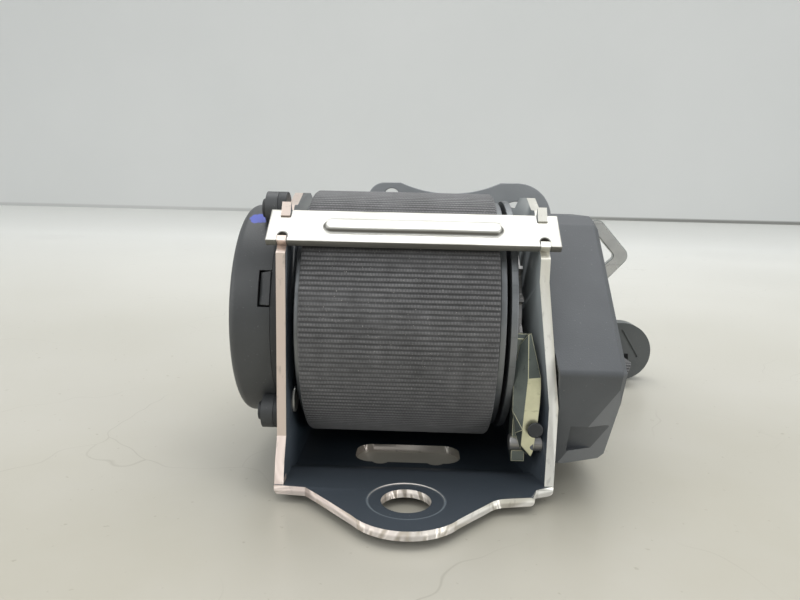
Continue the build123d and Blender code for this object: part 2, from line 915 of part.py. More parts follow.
def cover_block(inset):
    """The cover's outer form, or its cavity when set in by the shell: outline, slanting corner, pocket."""
    with BuildPart() as block:
        with BuildSketch(side(skirt_x)) as face:
            with BuildLine():
                Polyline(*cover_outline, close=True)
            make_face()
            fillet(face.vertices(), cover_corner)
            if inset:
                offset(amount=-inset, mode=Mode.REPLACE)
        extrude(amount=cover_right - skirt_x - inset)
        if not inset:
            chamfer(block.edges().group_by(Axis.X)[-1], cover_chamfer)
        # Slanting facet across the lower outer corner
        facet = Plane(
            Face(
                Wire.make_polygon(
                    [
                        (cover_right, nose_line(facet_top), facet_top),
                        (cover_right - facet_in_x, nose_line(facet_in_z), facet_in_z),
                        (cover_right, facet_low_y, low_z),
                    ]
                )
            )
        )
        inward = 1 if facet.z_dir.Y > 0 else -1
        split(bisect_by=facet.offset(inward * inset), keep=Keep.TOP if inward > 0 else Keep.BOTTOM)
        # Moulded pocket in the lower front face, open to the right
        with BuildSketch(side(skirt_x + pocket_left - inset)) as pocket:
            with BuildLine():
                Polyline(
                    (nose_y, pocket_high),
                    (nose_line(pocket_high) + pocket_depth, pocket_high),
                    (nose_line(pocket_low) + pocket_depth, pocket_low),
                    (nose_y, pocket_low),
                    close=True,
                )
            make_face()
            fillet(pocket.vertices().group_by(Axis.Y)[-1], pocket_corner)
            fillet(pocket.vertices().sort_by(Axis.Y)[-1], pocket_corner)
            if inset:
                offset(amount=inset, mode=Mode.REPLACE)
        extrude(amount=cover_right - skirt_x, mode=Mode.SUBTRACT)
    return block.part


# Mechanism cover: a deep moulded cap with a pointed lower corner, its skirt round the base plate
cover_outer = cover_block(0)
cover_cavity = cover_block(shell)
with BuildPart() as mechanism_cover:
    add(cover_outer)
    add(cover_cavity, mode=Mode.SUBTRACT)
    add(flare_room.part, mode=Mode.SUBTRACT)
    screw_places = [
        (cover_back - screw_inset, screw_low_z),
        (cover_back - screw_inset, cover_top - 2 * screw_inset),
        (screw_front_y, screw_low_z),
    ]
    with BuildSketch(side(base_right + run_gap)):
        with Locations(*screw_places):
            Circle(screw_r + 1.6)
    extrude(amount=cover_right - shell / 2 - base_right - run_gap)
    with BuildSketch(side(base_right + run_gap)):
        with Locations(*screw_places):
            Circle(screw_r + bore_fit)
    extrude(amount=cover_right - base_right, mode=Mode.SUBTRACT)
mechanism_cover.part.label = "mechanism_cover"

cover_screws = []
for number, place in enumerate(screw_places, start=1):
    with BuildPart() as cover_screw:
        with BuildSketch(side(base_right)):
            with Locations(place):
                Circle(screw_r)
        extrude(amount=cover_right - base_right)
        with BuildSketch(side(cover_right)):
            with Locations(place):
                Circle(screw_head_r)
        extrude(amount=screw_head)
        with BuildSketch(side(cover_right + screw_head)):
            with Locations(place):
                RegularPolygon(1.2, 6)
        extrude(amount=-1.0, mode=Mode.SUBTRACT)
    cover_screw.part.label = f"mechanism_screw_{number}"
    cover_screws.append(cover_screw.part)

# Lock gear on the thin end of the torsion bar
with BuildPart() as lock_gear:
    with BuildSketch(across(gear_x)):
        Circle(gear_root_r)
        for tooth in range(gear_teeth):
            with BuildLine():
                Polyline(
                    *saw_tooth(gear_root_r, gear_tip_r, tooth * 360 / gear_teeth, 7), close=True
                )
            make_face()
    extrude(amount=gear_thick)
    with BuildSketch(across(gear_x)):
        Circle(hub_r)
    extrude(amount=hub_length)
    with BuildSketch(across(gear_x)):
        Circle(bar_end_r + bore_fit)
    extrude(amount=hub_length, mode=Mode.SUBTRACT)
lock_gear.part.label = "lock_gear"

# Inertia disc on the hub of the gear, with two balance lobes
disc_x = gear_x + gear_thick + 1.0
with BuildPart() as inertia_disc:
    with BuildSketch(across(disc_x)):
        Circle(disc_r)
        Circle(hub_r + bore_fit, mode=Mode.SUBTRACT)
    extrude(amount=disc_thick)
    with BuildSketch(across(disc_x + disc_thick)):
        Circle(disc_r)
        Circle(disc_r - 4.0, mode=Mode.SUBTRACT)
        Rectangle(2 * disc_r, disc_r, mode=Mode.SUBTRACT)
    extrude(amount=disc_lobe)
inertia_disc.part.label = "inertia_disc"

# Small spring that holds the disc against its stop
with BuildPart() as inertia_spring:
    with BuildSketch(across(gear_x + gear_thick + 0.2)):
        Circle(hub_r + 2.2)
        Circle(hub_r + 1.5, mode=Mode.SUBTRACT)
    extrude(amount=0.6)
inertia_spring.part.label = "inertia_spring"

# Vehicle sensor: a cup with a steel ball, and a lever that the ball lifts into the gear
cup_floor = ball_y - ball_r - 0.2
with BuildPart() as sensor_housing:
    with BuildSketch(upright(cup_floor)) as cup_face:
        with Locations((ball_x, ball_z)):
            Circle(ball_r + 0.4 + sensor_wall)
    extrude(amount=sensor_wall)
    with BuildSketch(upright(cup_floor)):
        with Locations((ball_x, ball_z)):
            Circle(ball_r + 0.4 + sensor_wall)
            Circle(ball_r + 0.4, mode=Mode.SUBTRACT)
    extrude(amount=-ball_r)
    with BuildSketch(side(ball_x + ball_r + 0.4)):
        with Locations((cup_floor + ball_r / 2, ball_z)):
            Rectangle(ball_r, ball_r)
    extrude(amount=cover_right - shell - ball_x - ball_r - 0.4 - bore_fit)
sensor_housing.part.label = "sensor_housing"

with BuildPart() as sensor_ball:
    with Locations((ball_x, ball_y, ball_z)):
        Sphere(ball_r)
sensor_ball.part.label = "sensor_ball"

lever_y = ball_y + ball_r + 0.25
lever_pivot_z = ball_z - lever_arm
lever_left = gear_x + 0.2
lever_right = ball_x + 2.0
with BuildPart() as sensor_lever:
    with BuildSketch(side(lever_left)):
        with BuildLine():
            Polyline(
                (lever_y, lever_pivot_z - 1.8),
                (lever_y, ball_z + 4.0),
                (lever_y + 1.4, ball_z + 5.0),
                (lever_y + 1.4 + lever_thick, ball_z + 5.0),
                (lever_y + lever_thick, ball_z + 3.0),
                (lever_y + lever_thick, lever_pivot_z + 2.2),
                (lever_y + 3.4, lever_pivot_z + 1.6),
                (lever_y + 3.4, lever_pivot_z - 1.8),
                close=True,
            )
        make_face()
        with Locations((lever_y + 1.7, lever_pivot_z)):
            Circle(lever_pin_r + bore_fit, mode=Mode.SUBTRACT)
    extrude(amount=lever_right - lever_left)
sensor_lever.part.label = "sensor_lever"

with BuildPart() as lever_pin:
    with BuildSketch(side(lever_left)):
        with Locations((lever_y + 1.7, lever_pivot_z)):
            Circle(lever_pin_r)
    extrude(amount=cover_right - shell - lever_left)
lever_pin.part.label = "lever_pin"

# Webbing guide: a moulded bar with a slot, between the walls at the exit
with BuildPart() as webbing_guide:
    with BuildSketch(upright(frame_back)):
        with Locations((0, sheet + guide_height / 2)):
            Rectangle(2 * (inner_half - run_gap), guide_height)
        with Locations((web_x, exit_z)):
            RectangleRounded(web_width + 2 * guide_lip, web_thick + 2 * 0.9, 1.2, mode=Mode.SUBTRACT)
    extrude(amount=guide_length)
webbing_guide.part.label = "webbing_guide"

# Webbing between the roll and the folded length: out through the guide, under it and up behind
lead_back = bundle_back + run_gap + web_thick / 2
lead_low = floor_gap + web_thick / 2
lead_top = 34.0
with BuildPart() as webbing_lead:
    with BuildSketch(side(web_left)) as lead_side:
        with BuildLine():
            FilletPolyline(
                (axis_y, exit_z),
                (frame_back + 1.5, exit_z),
                (frame_back + 7.5, lead_low),
                (lead_back, lead_low),
                (lead_back, lead_top),
                radius=1.2,
            )
        trace(line_width=web_thick)
    extrude(amount=web_width)
webbing_lead.part.label = "webbing_lead"

# Folded webbing standing on its edge behind the frame
bundle_low = floor_gap + web_thick + run_gap
with BuildPart() as webbing_bundle:
    with BuildSketch(Plane.XY.offset(bundle_low)):
        with Locations(((bundle_left + bundle_right) / 2, (bundle_front + bundle_back) / 2)):
            SlotOverall(bundle_right - bundle_left, bundle_depth)
    extrude(amount=web_width)
webbing_bundle.part.label = "webbing_bundle"

# Anchor plate in its own flat frame: x from the webbing slot to the bolt eye
eye_distance = hypot(eye_x - slot_mid_x, eye_z - slot_mid_z)
anchor_along = ((eye_x - slot_mid_x) / eye_distance, (eye_z - slot_mid_z) / eye_distance)
anchor_plane = Plane(
    origin=(slot_mid_x, anchor_y, slot_mid_z),
    x_dir=(anchor_along[0], 0, anchor_along[1]),
    z_dir=(0, -1, 0),
)
# Each long side is drawn in by a wide arc, whose middle lies out from the middle of that side
lean = atan2(anchor_half, eye_distance) - asin((eye_r - anchor_corner_r) / hypot(eye_distance, anchor_half))
outwards = (sin(lean), cos(lean))
waist_out = waist_r - waist_depth + (eye_r + anchor_corner_r) / 2
waist_x = eye_distance / 2 + waist_out * outwards[0]
waist_y = anchor_half / 2 + waist_out * outwards[1]
with BuildPart() as anchor_plate:
    with BuildSketch(anchor_plane):
        with Locations((eye_distance, 0)):
            Circle(eye_r)
        with Locations((0, anchor_half), (0, -anchor_half)):
            Circle(anchor_corner_r)
        make_hull()
        with Locations((waist_x, waist_y), (waist_x, -waist_y)):
            Circle(waist_r, mode=Mode.SUBTRACT)
        with Locations((anchor_slot_shift, 0)):
            SlotOverall(2 * anchor_half + anchor_slot, anchor_slot, rotation=90, mode=Mode.SUBTRACT)
        with Locations((eye_distance, 0)):
            Circle(anchor_bolt_r, mode=Mode.SUBTRACT)
    extrude(amount=-anchor_thick)
anchor_plate.part.label = "anchor_plate"

# End of the webbing, sewn round the bar of the anchor plate
bar_low = -anchor_corner_r - run_gap
bar_high = anchor_slot_shift - anchor_slot / 2 + run_gap
sewn_plane = Plane(
    origin=(slot_mid_x, anchor_y + anchor_thick / 2, slot_mid_z),
    x_dir=(anchor_along[0], 0, anchor_along[1]),
    z_dir=(-anchor_along[1], 0, anchor_along[0]),
)
with BuildPart() as webbing_end:
    with BuildSketch(sewn_plane.offset(-web_width / 2)):
        with Locations(((bar_high + web_thick - sewn_length + bar_high) / 2, 0)):
            Rectangle(sewn_length + web_thick, anchor_thick + 2 * run_gap + 2 * web_thick)
        with Locations(((bar_low + bar_high) / 2, 0)):
            Rectangle(bar_high - bar_low, anchor_thick + 2 * run_gap, mode=Mode.SUBTRACT)
    extrude(amount=web_width)
webbing_end.part.label = "webbing_end"

# Tongue in its own flat frame: x from the webbing slot to the tip, origin at the middle of the tip
tongue_front = bundle_back + web_thick + 2 * run_gap
blade_front = tongue_front + (body_thick - blade_thick) / 2
tip_x = tongue_corner_x - sin(radians(tongue_turn)) * blade_tip / 2
tip_z = tongue_corner_z + cos(radians(tongue_turn)) * blade_tip / 2
tongue_along = (cos(radians(tongue_turn)), 0, sin(radians(tongue_turn)))
blade_plane = Plane(origin=(tip_x, blade_front, tip_z), x_dir=tongue_along, z_dir=(0, -1, 0))
body_plane = Plane(origin=(tip_x, tongue_front, tip_z), x_dir=tongue_along, z_dir=(0, -1, 0))
body_x = -blade_length - body_length / 2
with BuildPart() as tongue_plate:
    with BuildSketch(blade_plane) as blade_face:
        with BuildLine():
            Polyline(
                (0, blade_tip / 2),
                (0, -blade_tip / 2),
                (-blade_length, -blade_root / 2),
                (-blade_length, -shoulder_half),
                (-blade_length - shoulder_length, -shoulder_half),
                (-blade_length - shoulder_length, shoulder_half),
                (-blade_length, shoulder_half),
                (-blade_length, blade_root / 2),
                close=True,
            )
        make_face()
        fillet(blade_face.vertices().group_by(Axis.X)[-1], blade_corner)
        fillet(blade_face.vertices().group_by(Axis.Y)[0], shoulder_corner)
        fillet(blade_face.vertices().group_by(Axis.Y)[-1], shoulder_corner)
        with Locations((-blade_window_edge - blade_window_length / 2, 0)):
            RectangleRounded(blade_window_length, blade_window, 1.5, mode=Mode.SUBTRACT)
        with Locations((body_x, 0)):
            Rectangle(tongue_slot + 1.0, 2 * slot_clear + 1.0, mode=Mode.SUBTRACT)
    extrude(amount=-blade_thick)
tongue_plate.part.label = "tongue_plate"

# Moulded body of the tongue, in one piece around its plate
with BuildPart() as tongue_body:
    with BuildSketch(body_plane):
        with Locations((body_x, 0)):
            SlotOverall(body_span, body_length, rotation=90)
            SlotOverall(2 * slot_clear, tongue_slot, rotation=90, mode=Mode.SUBTRACT)
    extrude(amount=-body_thick)
    add(tongue_plate.part, mode=Mode.SUBTRACT)
tongue_body.part.label = "tongue_body"

# Short run of webbing from the folds through the tongue
run_plane = Plane(
    origin=(tip_x, bundle_back + run_gap, tip_z), x_dir=tongue_along, z_dir=(0, -1, 0)
)
with BuildPart() as webbing_run:
    with BuildSketch(run_plane):
        with Locations((body_x, 0)):
            Rectangle(web_thick, web_width)
    extrude(amount=-body_thick - 2 * web_thick - 2 * run_gap)
webbing_run.part.label = "webbing_run"

# Pillar loop: a steel plate in a moulded cover, with the bolt eye above the webbing slot
pillar_low = pillar_end_r + floor_gap
pillar_places = [(pillar_end_x - pillar_span, pillar_low), (pillar_end_x, pillar_low)]
pillar_mid_x = pillar_end_x - pillar_span / 2
pillar_eye = (pillar_end_x + eye_offset_x, pillar_low + eye_rise)
plate_front = pillar_front + (pillar_thick - plate_thick) / 2
with BuildPart() as pillar_plate:
    with BuildSketch(upright(plate_front)):
        with Locations(pillar_eye):
            Circle(pillar_eye_r - plate_inset)
        with Locations((pillar_eye[0], (pillar_eye[1] + pillar_low) / 2)):
            Rectangle(2 * (pillar_eye_r - plate_inset), pillar_eye[1] - pillar_low)
        with Locations((pillar_mid_x, pillar_low)):
            Rectangle(pillar_span + pillar_end_r - plate_inset, 2 * (pillar_end_r - plate_inset))
        with Locations((pillar_mid_x, pillar_slot_z)):
            Rectangle(2 * slot_clear + 2.0, pillar_slot + 1.0, mode=Mode.SUBTRACT)
        with Locations(pillar_eye):
            Circle(pillar_bolt_r, mode=Mode.SUBTRACT)
    extrude(amount=-plate_thick)
pillar_plate.part.label = "pillar_plate"

with BuildPart() as pillar_cover:
    with BuildSketch(upright(pillar_front)):
        with Locations(*pillar_places):
            Circle(pillar_end_r)
        make_hull()
        with Locations(pillar_eye):
            Circle(pillar_eye_r)
        with Locations((pillar_eye[0], (pillar_eye[1] + pillar_low) / 2)):
            Rectangle(2 * pillar_eye_r, pillar_eye[1] - pillar_low)
        with Locations((pillar_mid_x, pillar_slot_z)):
            Rectangle(2 * slot_clear, pillar_slot, mode=Mode.SUBTRACT)
        with Locations(pillar_eye):
            Circle(pillar_eye_r - plate_inset - 1.0, mode=Mode.SUBTRACT)
    extrude(amount=-pillar_thick)
    add(pillar_plate.part, mode=Mode.SUBTRACT)
    with BuildSketch(upright(pillar_front)):
        with Locations((pillar_end_x, pillar_low)):
            with Locations((3.0, 3.4)):
                Rectangle(groove_length, 0.8, rotation=groove_turn)
    extrude(amount=-groove_depth, mode=Mode.SUBTRACT)
pillar_cover.part.label = "pillar_cover"

# Loose webbing: along the surface, up through the pillar loop and down again
tail_left = pillar_mid_x - web_width / 2
with BuildPart() as webbing_tail:
    with BuildSketch(side(tail_left)):
        with BuildLine():
            FilletPolyline(
                (bundle_back, lead_low),
                (tail_rise_start, lead_low),
                (tail_rise_end, pillar_slot_z),
                (tail_fall_start, pillar_slot_z),
                (tail_fall_end, lead_low),
                (tail_end, lead_low),
                radius=1.2,
            )
        trace(line_width=web_thick)
    extrude(amount=web_width)
webbing_tail.part.label = "webbing_tail"

# Stop button, pressed together through the webbing from both sides
with BuildPart() as stop_button:
    with BuildSketch(Plane.XY.offset(pillar_slot_z + web_thick / 2)):
        with Locations((pillar_mid_x, button_y)):
            Circle(button_r)
    extrude(amount=(button_thick - web_thick) / 2)
    chamfer(stop_button.edges().group_by(Axis.Z)[-1], 0.5)
stop_button.part.label = "stop_button"

with BuildPart() as stop_button_back:
    with BuildSketch(Plane.XY.offset(pillar_slot_z - web_thick / 2)):
        with Locations((pillar_mid_x, button_y)):
            Circle(button_r)
    extrude(amount=-(button_thick - web_thick) / 2)
    chamfer(stop_button_back.edges().group_by(Axis.Z)[0], 0.5)
stop_button_back.part.label = "stop_button_back"

parts = [
    frame.part,
    wall_rivet.part,
    tie_bar.part,
    spool.part,
    torsion_bar.part,
    webbing_roll.part,
    webbing_pin.part,
    ratchet_ring.part,
    left_bush.part,
    right_bush.part,
    spring_base.part,
    spring_cover.part,
    *spring_rivets,
    spring_arbor.part,
    mainspring.part,
    lock_pawl.part,
    pawl_knob.part,
    pawl_pin.part,
    pawl_return_spring.part,
    mechanism_base.part,
    mechanism_cover.part,
    *cover_screws,
    lock_gear.part,
    inertia_disc.part,
    inertia_spring.part,
    sensor_housing.part,
    sensor_ball.part,
    sensor_lever.part,
    lever_pin.part,
    webbing_guide.part,
    webbing_lead.part,
    webbing_bundle.part,
    anchor_plate.part,
    webbing_end.part,
    tongue_plate.part,
    tongue_body.part,
    webbing_run.part,
    pillar_plate.part,
    pillar_cover.part,
    webbing_tail.part,
    stop_button.part,
    stop_button_back.part,
]

os.makedirs("parts", exist_ok=True)
for part in parts:
    export_step(part, f"parts/{part.label}.step")
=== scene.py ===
# %% [markdown]
# This lesson dresses a seat belt retractor for a picture. The CAD frame gives every rigid piece
# its place. We keep the hidden pieces as they are, soften the edges of those that show, and draw
# the webbing as the woven strap that it really is.

# %% Load the frame
import json
from math import cos, pi, radians, sin

import bmesh
import bpy
import numpy as np
from mathutils import Matrix, Vector


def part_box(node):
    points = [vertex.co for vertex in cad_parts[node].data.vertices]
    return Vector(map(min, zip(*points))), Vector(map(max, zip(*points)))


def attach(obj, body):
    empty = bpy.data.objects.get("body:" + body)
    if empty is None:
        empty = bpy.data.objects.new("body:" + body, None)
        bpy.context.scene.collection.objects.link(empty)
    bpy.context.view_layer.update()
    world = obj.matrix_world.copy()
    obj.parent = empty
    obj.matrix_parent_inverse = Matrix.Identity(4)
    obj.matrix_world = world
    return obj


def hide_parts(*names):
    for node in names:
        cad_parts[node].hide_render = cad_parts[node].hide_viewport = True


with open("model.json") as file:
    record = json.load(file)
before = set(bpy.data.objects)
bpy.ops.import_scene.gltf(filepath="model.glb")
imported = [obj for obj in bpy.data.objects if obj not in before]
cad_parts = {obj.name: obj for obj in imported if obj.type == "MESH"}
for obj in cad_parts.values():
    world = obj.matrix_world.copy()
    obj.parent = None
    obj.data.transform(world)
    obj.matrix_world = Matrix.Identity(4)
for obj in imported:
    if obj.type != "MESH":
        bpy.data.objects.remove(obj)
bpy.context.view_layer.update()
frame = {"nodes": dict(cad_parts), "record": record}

# %% [markdown]
# The photograph was taken from a little above the bolt tab. The camera below has the lens and
# the place that make the bolt hole, the tie bar and the webbing fall where they do in the photograph.

# %% Camera
scene = bpy.context.scene
right = Vector((0.99939, 0.02674, 0.02260))
up = Vector((-0.02657, 0.15879, 0.98695))
forward = Vector((-0.02281, 0.98695, -0.15941))
camera_data = bpy.data.cameras.new("camera")
photo_width, focal_pixels = 800, 650
camera_data.sensor_width = 36.0
camera_data.lens = focal_pixels / photo_width * camera_data.sensor_width
camera_data.clip_end = 20.0
camera = bpy.data.objects.new("camera", camera_data)
turn = Matrix((right, up, -forward)).transposed().to_4x4()
camera.matrix_world = Matrix.Translation((0.000795, -0.139491, 0.073009)) @ turn
scene.collection.objects.link(camera)
scene.camera = camera
scene.view_settings.view_transform = "Standard"
print("lens", round(camera_data.lens, 2), "mm")

# %% [markdown]
# Colours are written as the hex codes that a colour picker shows. Blender's shaders want linear
# light, so one function turns a code into that. A second one adds a shader node, and a third links
# the last nodes to the shader, so that each material below reads as a short list of steps.

# %% Helpers for materials
def linear(code):
    """Linear red, green, blue and 1 from an sRGB code.

    A channel c becomes c / 12.92 where it is dark, and else ((c + 0.055) / 1.055) to the power 2.4.
    """
    channels = np.array([int(code[k:k + 2], 16) / 255 for k in (1, 3, 5)])
    bright = ((channels + 0.055) / 1.055) ** 2.4
    return (*np.where(channels <= 0.04045, channels / 12.92, bright).tolist(), 1.0)


def add(tree, kind, sockets=None, **settings):
    """Adds a node such as Math or Mix. Settings are its own properties; a socket may be given an output."""
    made = tree.nodes.new("ShaderNode" + kind)
    for name, value in settings.items():
        setattr(made, name, value)
    for name, value in (sockets or {}).items():
        if isinstance(value, bpy.types.NodeSocket):
            tree.links.new(value, made.inputs[name])
        else:
            made.inputs[name].default_value = value
    return made


def new_material(name, **sockets):
    """A new material: returns it, its node tree and its one shader, whose sockets are given by name."""
    made = bpy.data.materials.new(name)
    made.use_nodes = True
    tree = made.node_tree
    shader = tree.nodes["Principled BSDF"]
    for key, value in sockets.items():
        shader.inputs[key.replace("_", " ")].default_value = value
    return made, tree, shader


def wire(tree, shader, **outputs):
    """Links each output to the shader's socket of that name, written with _ for a space."""
    for key, value in outputs.items():
        tree.links.new(value, shader.inputs[key.replace("_", " ")])


print("white is", linear("#ffffff"))

# %% [markdown]
# Belt webbing is polyester, woven narrow and thick. The weft shows as ribs across the belt, about
# 1.2 mm apart, and each rib is a row of small warp floats. Where turns have rubbed on each other
# the ribs are flatter, and grey lint sits between them. The strap's own UV map is in metres: U runs
# along the belt and V across it, so the weave follows every bend.

# %% Woven polyester webbing
rib_pitch = 0.0012
float_pitch = 0.00075

webbing, tree, shader = new_material(
    "polyester_webbing_woven", Roughness=0.82, Sheen_Weight=0.25, Sheen_Roughness=0.5
)
uv = add(tree, "UVMap", uv_map="strap").outputs[0]
split = add(tree, "SeparateXYZ", {0: uv})
along = add(tree, "Math", {0: split.outputs["X"], 1: 2 * pi / rib_pitch}, operation="MULTIPLY").outputs[0]
wave = add(tree, "Math", {0: along}, operation="SINE").outputs[0]
rib = add(tree, "MapRange", {0: wave, 1: -0.8, 2: 0.45, 3: 0.1}).outputs[0]
row = add(tree, "Math", {0: split.outputs["X"], 1: 1 / rib_pitch}, operation="MULTIPLY").outputs[0]
row = add(tree, "Math", {0: row}, operation="FLOOR").outputs[0]
shift = add(tree, "Math", {0: row, 1: pi}, operation="MULTIPLY").outputs[0]
warp = {0: split.outputs["Y"], 1: 2 * pi / float_pitch, 2: shift}
warp = add(tree, "Math", warp, operation="MULTIPLY_ADD").outputs[0]
warp = add(tree, "Math", {0: warp}, operation="SINE").outputs[0]
warp = add(tree, "MapRange", {0: warp, 1: -1.0, 2: 1.0, 3: 0.62, 4: 1.05}).outputs[0]
weave = add(tree, "Math", {0: rib, 1: warp}, operation="MULTIPLY").outputs[0]
turns_worn = add(tree, "Mapping", {0: uv, "Scale": (55.0, 14.0, 1.0)}).outputs[0]
turns_worn = add(tree, "TexNoise", {"Vector": turns_worn, "Scale": 1.0, "Detail": 3.0}).outputs["Fac"]
turns_worn = add(tree, "MapRange", {0: turns_worn, 1: 0.35, 2: 0.65, 3: 0.35, 4: 1.0}).outputs[0]
weave = add(tree, "Mix", {0: turns_worn, 2: 0.55, 3: weave}).outputs[0]
stretched = add(tree, "Mapping", {0: uv, "Scale": (1500.0, 260.0, 1.0)}).outputs[0]
fibres = add(tree, "TexNoise", {"Vector": stretched, "Scale": 1.0, "Detail": 3.0}).outputs["Fac"]
patches = add(tree, "TexNoise", {"Vector": uv, "Scale": 90.0, "Detail": 2.0}).outputs["Fac"]
threads = add(
    tree, "Mix", {0: weave, 6: linear("#1b1b1c"), 7: linear("#6c6c6d")}, data_type="RGBA"
).outputs[2]
lanes = add(tree, "Mapping", {0: uv, "Scale": (6.0, 420.0, 1.0)}).outputs[0]
lanes = add(tree, "TexNoise", {"Vector": lanes, "Scale": 1.0, "Detail": 2.0}).outputs["Fac"]
lanes = add(tree, "MapRange", {0: lanes, 1: 0.35, 2: 0.65, 3: 0.93, 4: 1.06}).outputs[0]
shade = add(tree, "MapRange", {0: patches, 1: 0.3, 2: 0.7, 3: 0.82, 4: 1.14}).outputs[0]
shade = add(tree, "Math", {0: shade, 1: lanes}, operation="MULTIPLY").outputs[0]
grain = add(tree, "MapRange", {0: fibres, 1: 0.25, 2: 0.75, 3: 0.72, 4: 1.3}).outputs[0]
shade = add(tree, "Math", {0: shade, 1: grain}, operation="MULTIPLY").outputs[0]
cloth = add(
    tree, "Mix", {0: 1.0, 6: threads, 7: shade}, data_type="RGBA", blend_type="MULTIPLY"
).outputs[2]
lint = add(tree, "TexNoise", {"Vector": uv, "Scale": 2400.0, "Detail": 1.0}).outputs["Fac"]
lint = add(tree, "MapRange", {0: lint, 1: 0.71, 2: 0.77, 4: 0.7}).outputs[0]
cloth = add(tree, "Mix", {0: lint, 6: cloth, 7: linear("#a9a6a2")}, data_type="RGBA").outputs[2]
height = add(tree, "Math", {0: fibres, 1: 0.35, 2: weave}, operation="MULTIPLY_ADD").outputs[0]
bump = add(tree, "Bump", {"Height": height, "Distance": 0.00013, "Strength": 0.8}).outputs[0]
wire(tree, shader, Base_Color=cloth, Normal=bump)
print("ribs on a turn of the roll:", round(2 * pi * 0.0334 / rib_pitch))

# %% [markdown]
# The frame is pressed from painted coil: the flat faces carry a glossy blue-black paint, while
# every edge that the press tool cut is bare steel. So the material looks at which way a face
# points. On the walls a face that doesn't look sideways is a cut edge, and on the base plate one
# that doesn't look up or down. The named lengths say where the walls and the base plate are, and
# how far from its middle the bolt hole's coined ring has its rim, where a paler line is drawn.
# Painted light makes the paint lighter on the bolt tab in front than further in, and makes the right
# wall's inner face light grey higher up.

# %% Pressed steel, painted before cutting
wall_face, wall_side, wall_front, wall_foot = 0.0291, 0.0285, 0.0093, 0.0056
base_top, ring_rim = 0.0052, 0.0089
painted, tree, shader = new_material(
    "pressed_steel_gloss_paint_cut_edges", Coat_Weight=0.5, Coat_Roughness=0.16
)
place = add(tree, "TexCoord").outputs["Object"]
where = add(tree, "SeparateXYZ", {0: place})
facing = add(tree, "NewGeometry").outputs["True Normal"]
facing = add(tree, "SeparateXYZ", {0: facing})
sideways = add(tree, "Math", {0: facing.outputs["X"]}, operation="ABSOLUTE").outputs[0]
upright = add(tree, "Math", {0: facing.outputs["Z"]}, operation="ABSOLUTE").outputs[0]
reach = add(tree, "Math", {0: where.outputs["X"]}, operation="ABSOLUTE").outputs[0]
on_wall = add(tree, "Math", {0: reach, 1: wall_face}, operation="GREATER_THAN").outputs[0]
behind = add(tree, "Math", {0: where.outputs["Y"], 1: wall_front}, operation="GREATER_THAN").outputs[0]
raised = add(tree, "Math", {0: where.outputs["Z"], 1: wall_foot}, operation="GREATER_THAN").outputs[0]
behind = add(tree, "Math", {0: behind, 1: raised}, operation="MAXIMUM").outputs[0]
on_wall = add(tree, "Math", {0: on_wall, 1: behind}, operation="MULTIPLY").outputs[0]
on_base = add(tree, "Math", {0: where.outputs["Z"], 1: base_top}, operation="LESS_THAN").outputs[0]
wall_flat = add(tree, "Math", {0: sideways, 1: on_wall}, operation="MULTIPLY").outputs[0]
base_flat = add(tree, "Math", {0: upright, 1: on_base}, operation="MULTIPLY").outputs[0]
bend_flat = add(tree, "Math", {0: wall_flat, 1: base_flat}, operation="ADD").outputs[0]
ragged = add(tree, "TexNoise", {"Vector": place, "Scale": 900.0, "Detail": 3.0}).outputs["Fac"]
ragged = add(tree, "MapRange", {0: ragged, 3: -0.1, 4: 0.1}).outputs[0]
flatness = add(tree, "Math", {0: bend_flat, 1: ragged}, operation="ADD").outputs[0]
bare = add(tree, "MapRange", {0: flatness, 1: 0.84, 2: 0.72}).outputs[0]
dust = add(tree, "TexNoise", {"Vector": place, "Scale": 2600.0, "Detail": 1.0}).outputs["Fac"]
dust = add(tree, "MapRange", {0: dust, 1: 0.74, 2: 0.78, 4: 0.5}).outputs[0]
cloudy = add(tree, "TexNoise", {"Vector": place, "Scale": 60.0, "Detail": 4.0}).outputs["Fac"]
paint = add(
    tree, "Mix", {0: cloudy, 6: linear("#20272d"), 7: linear("#333b43")}, data_type="RGBA"
).outputs[2]
# Painted light and shade: the paint is lighter on the bolt tab in front and darker further in.
painted_tab_light = add(tree, "MapRange", {0: where.outputs["Y"], 1: 0.026, 2: 0.014}).outputs[0]
paint = add(tree, "Mix", {0: painted_tab_light, 6: paint, 7: linear("#454c53")}, data_type="RGBA").outputs[2]
# Painted light: higher up, the inner face of the right wall is painted a light grey.
inside = add(tree, "Math", {0: where.outputs["X"], 1: wall_side}, operation="GREATER_THAN").outputs[0]
above = add(tree, "MapRange", {0: where.outputs["Z"], 1: 0.022, 2: 0.04}).outputs[0]
painted_wall_light = add(tree, "Math", {0: inside, 1: above}, operation="MULTIPLY").outputs[0]
paint = add(tree, "Mix", {0: painted_wall_light, 6: paint, 7: linear("#8d9394")}, data_type="RGBA").outputs[2]
# A paler line along the rim of the coined ring round the bolt hole.
out_from_hole = add(tree, "VectorMath", {0: place, 1: (1.0, 1.0, 0.0)}, operation="MULTIPLY").outputs[0]
out_from_hole = add(tree, "VectorMath", {0: out_from_hole}, operation="LENGTH").outputs["Value"]
off_rim = add(tree, "Math", {0: out_from_hole, 1: ring_rim}, operation="SUBTRACT").outputs[0]
off_rim = add(tree, "Math", {0: off_rim}, operation="ABSOLUTE").outputs[0]
rim_line = add(tree, "MapRange", {0: off_rim, 1: 0.0004, 2: 0.0001, 4: 0.75}).outputs[0]
paint = add(tree, "Mix", {0: rim_line, 6: paint, 7: linear("#7f888e")}, data_type="RGBA").outputs[2]
paint = add(tree, "Mix", {0: dust, 6: paint, 7: linear("#8d9296")}, data_type="RGBA").outputs[2]
streaks = add(tree, "Mapping", {0: place, "Scale": (500.0, 900.0, 260.0)}).outputs[0]
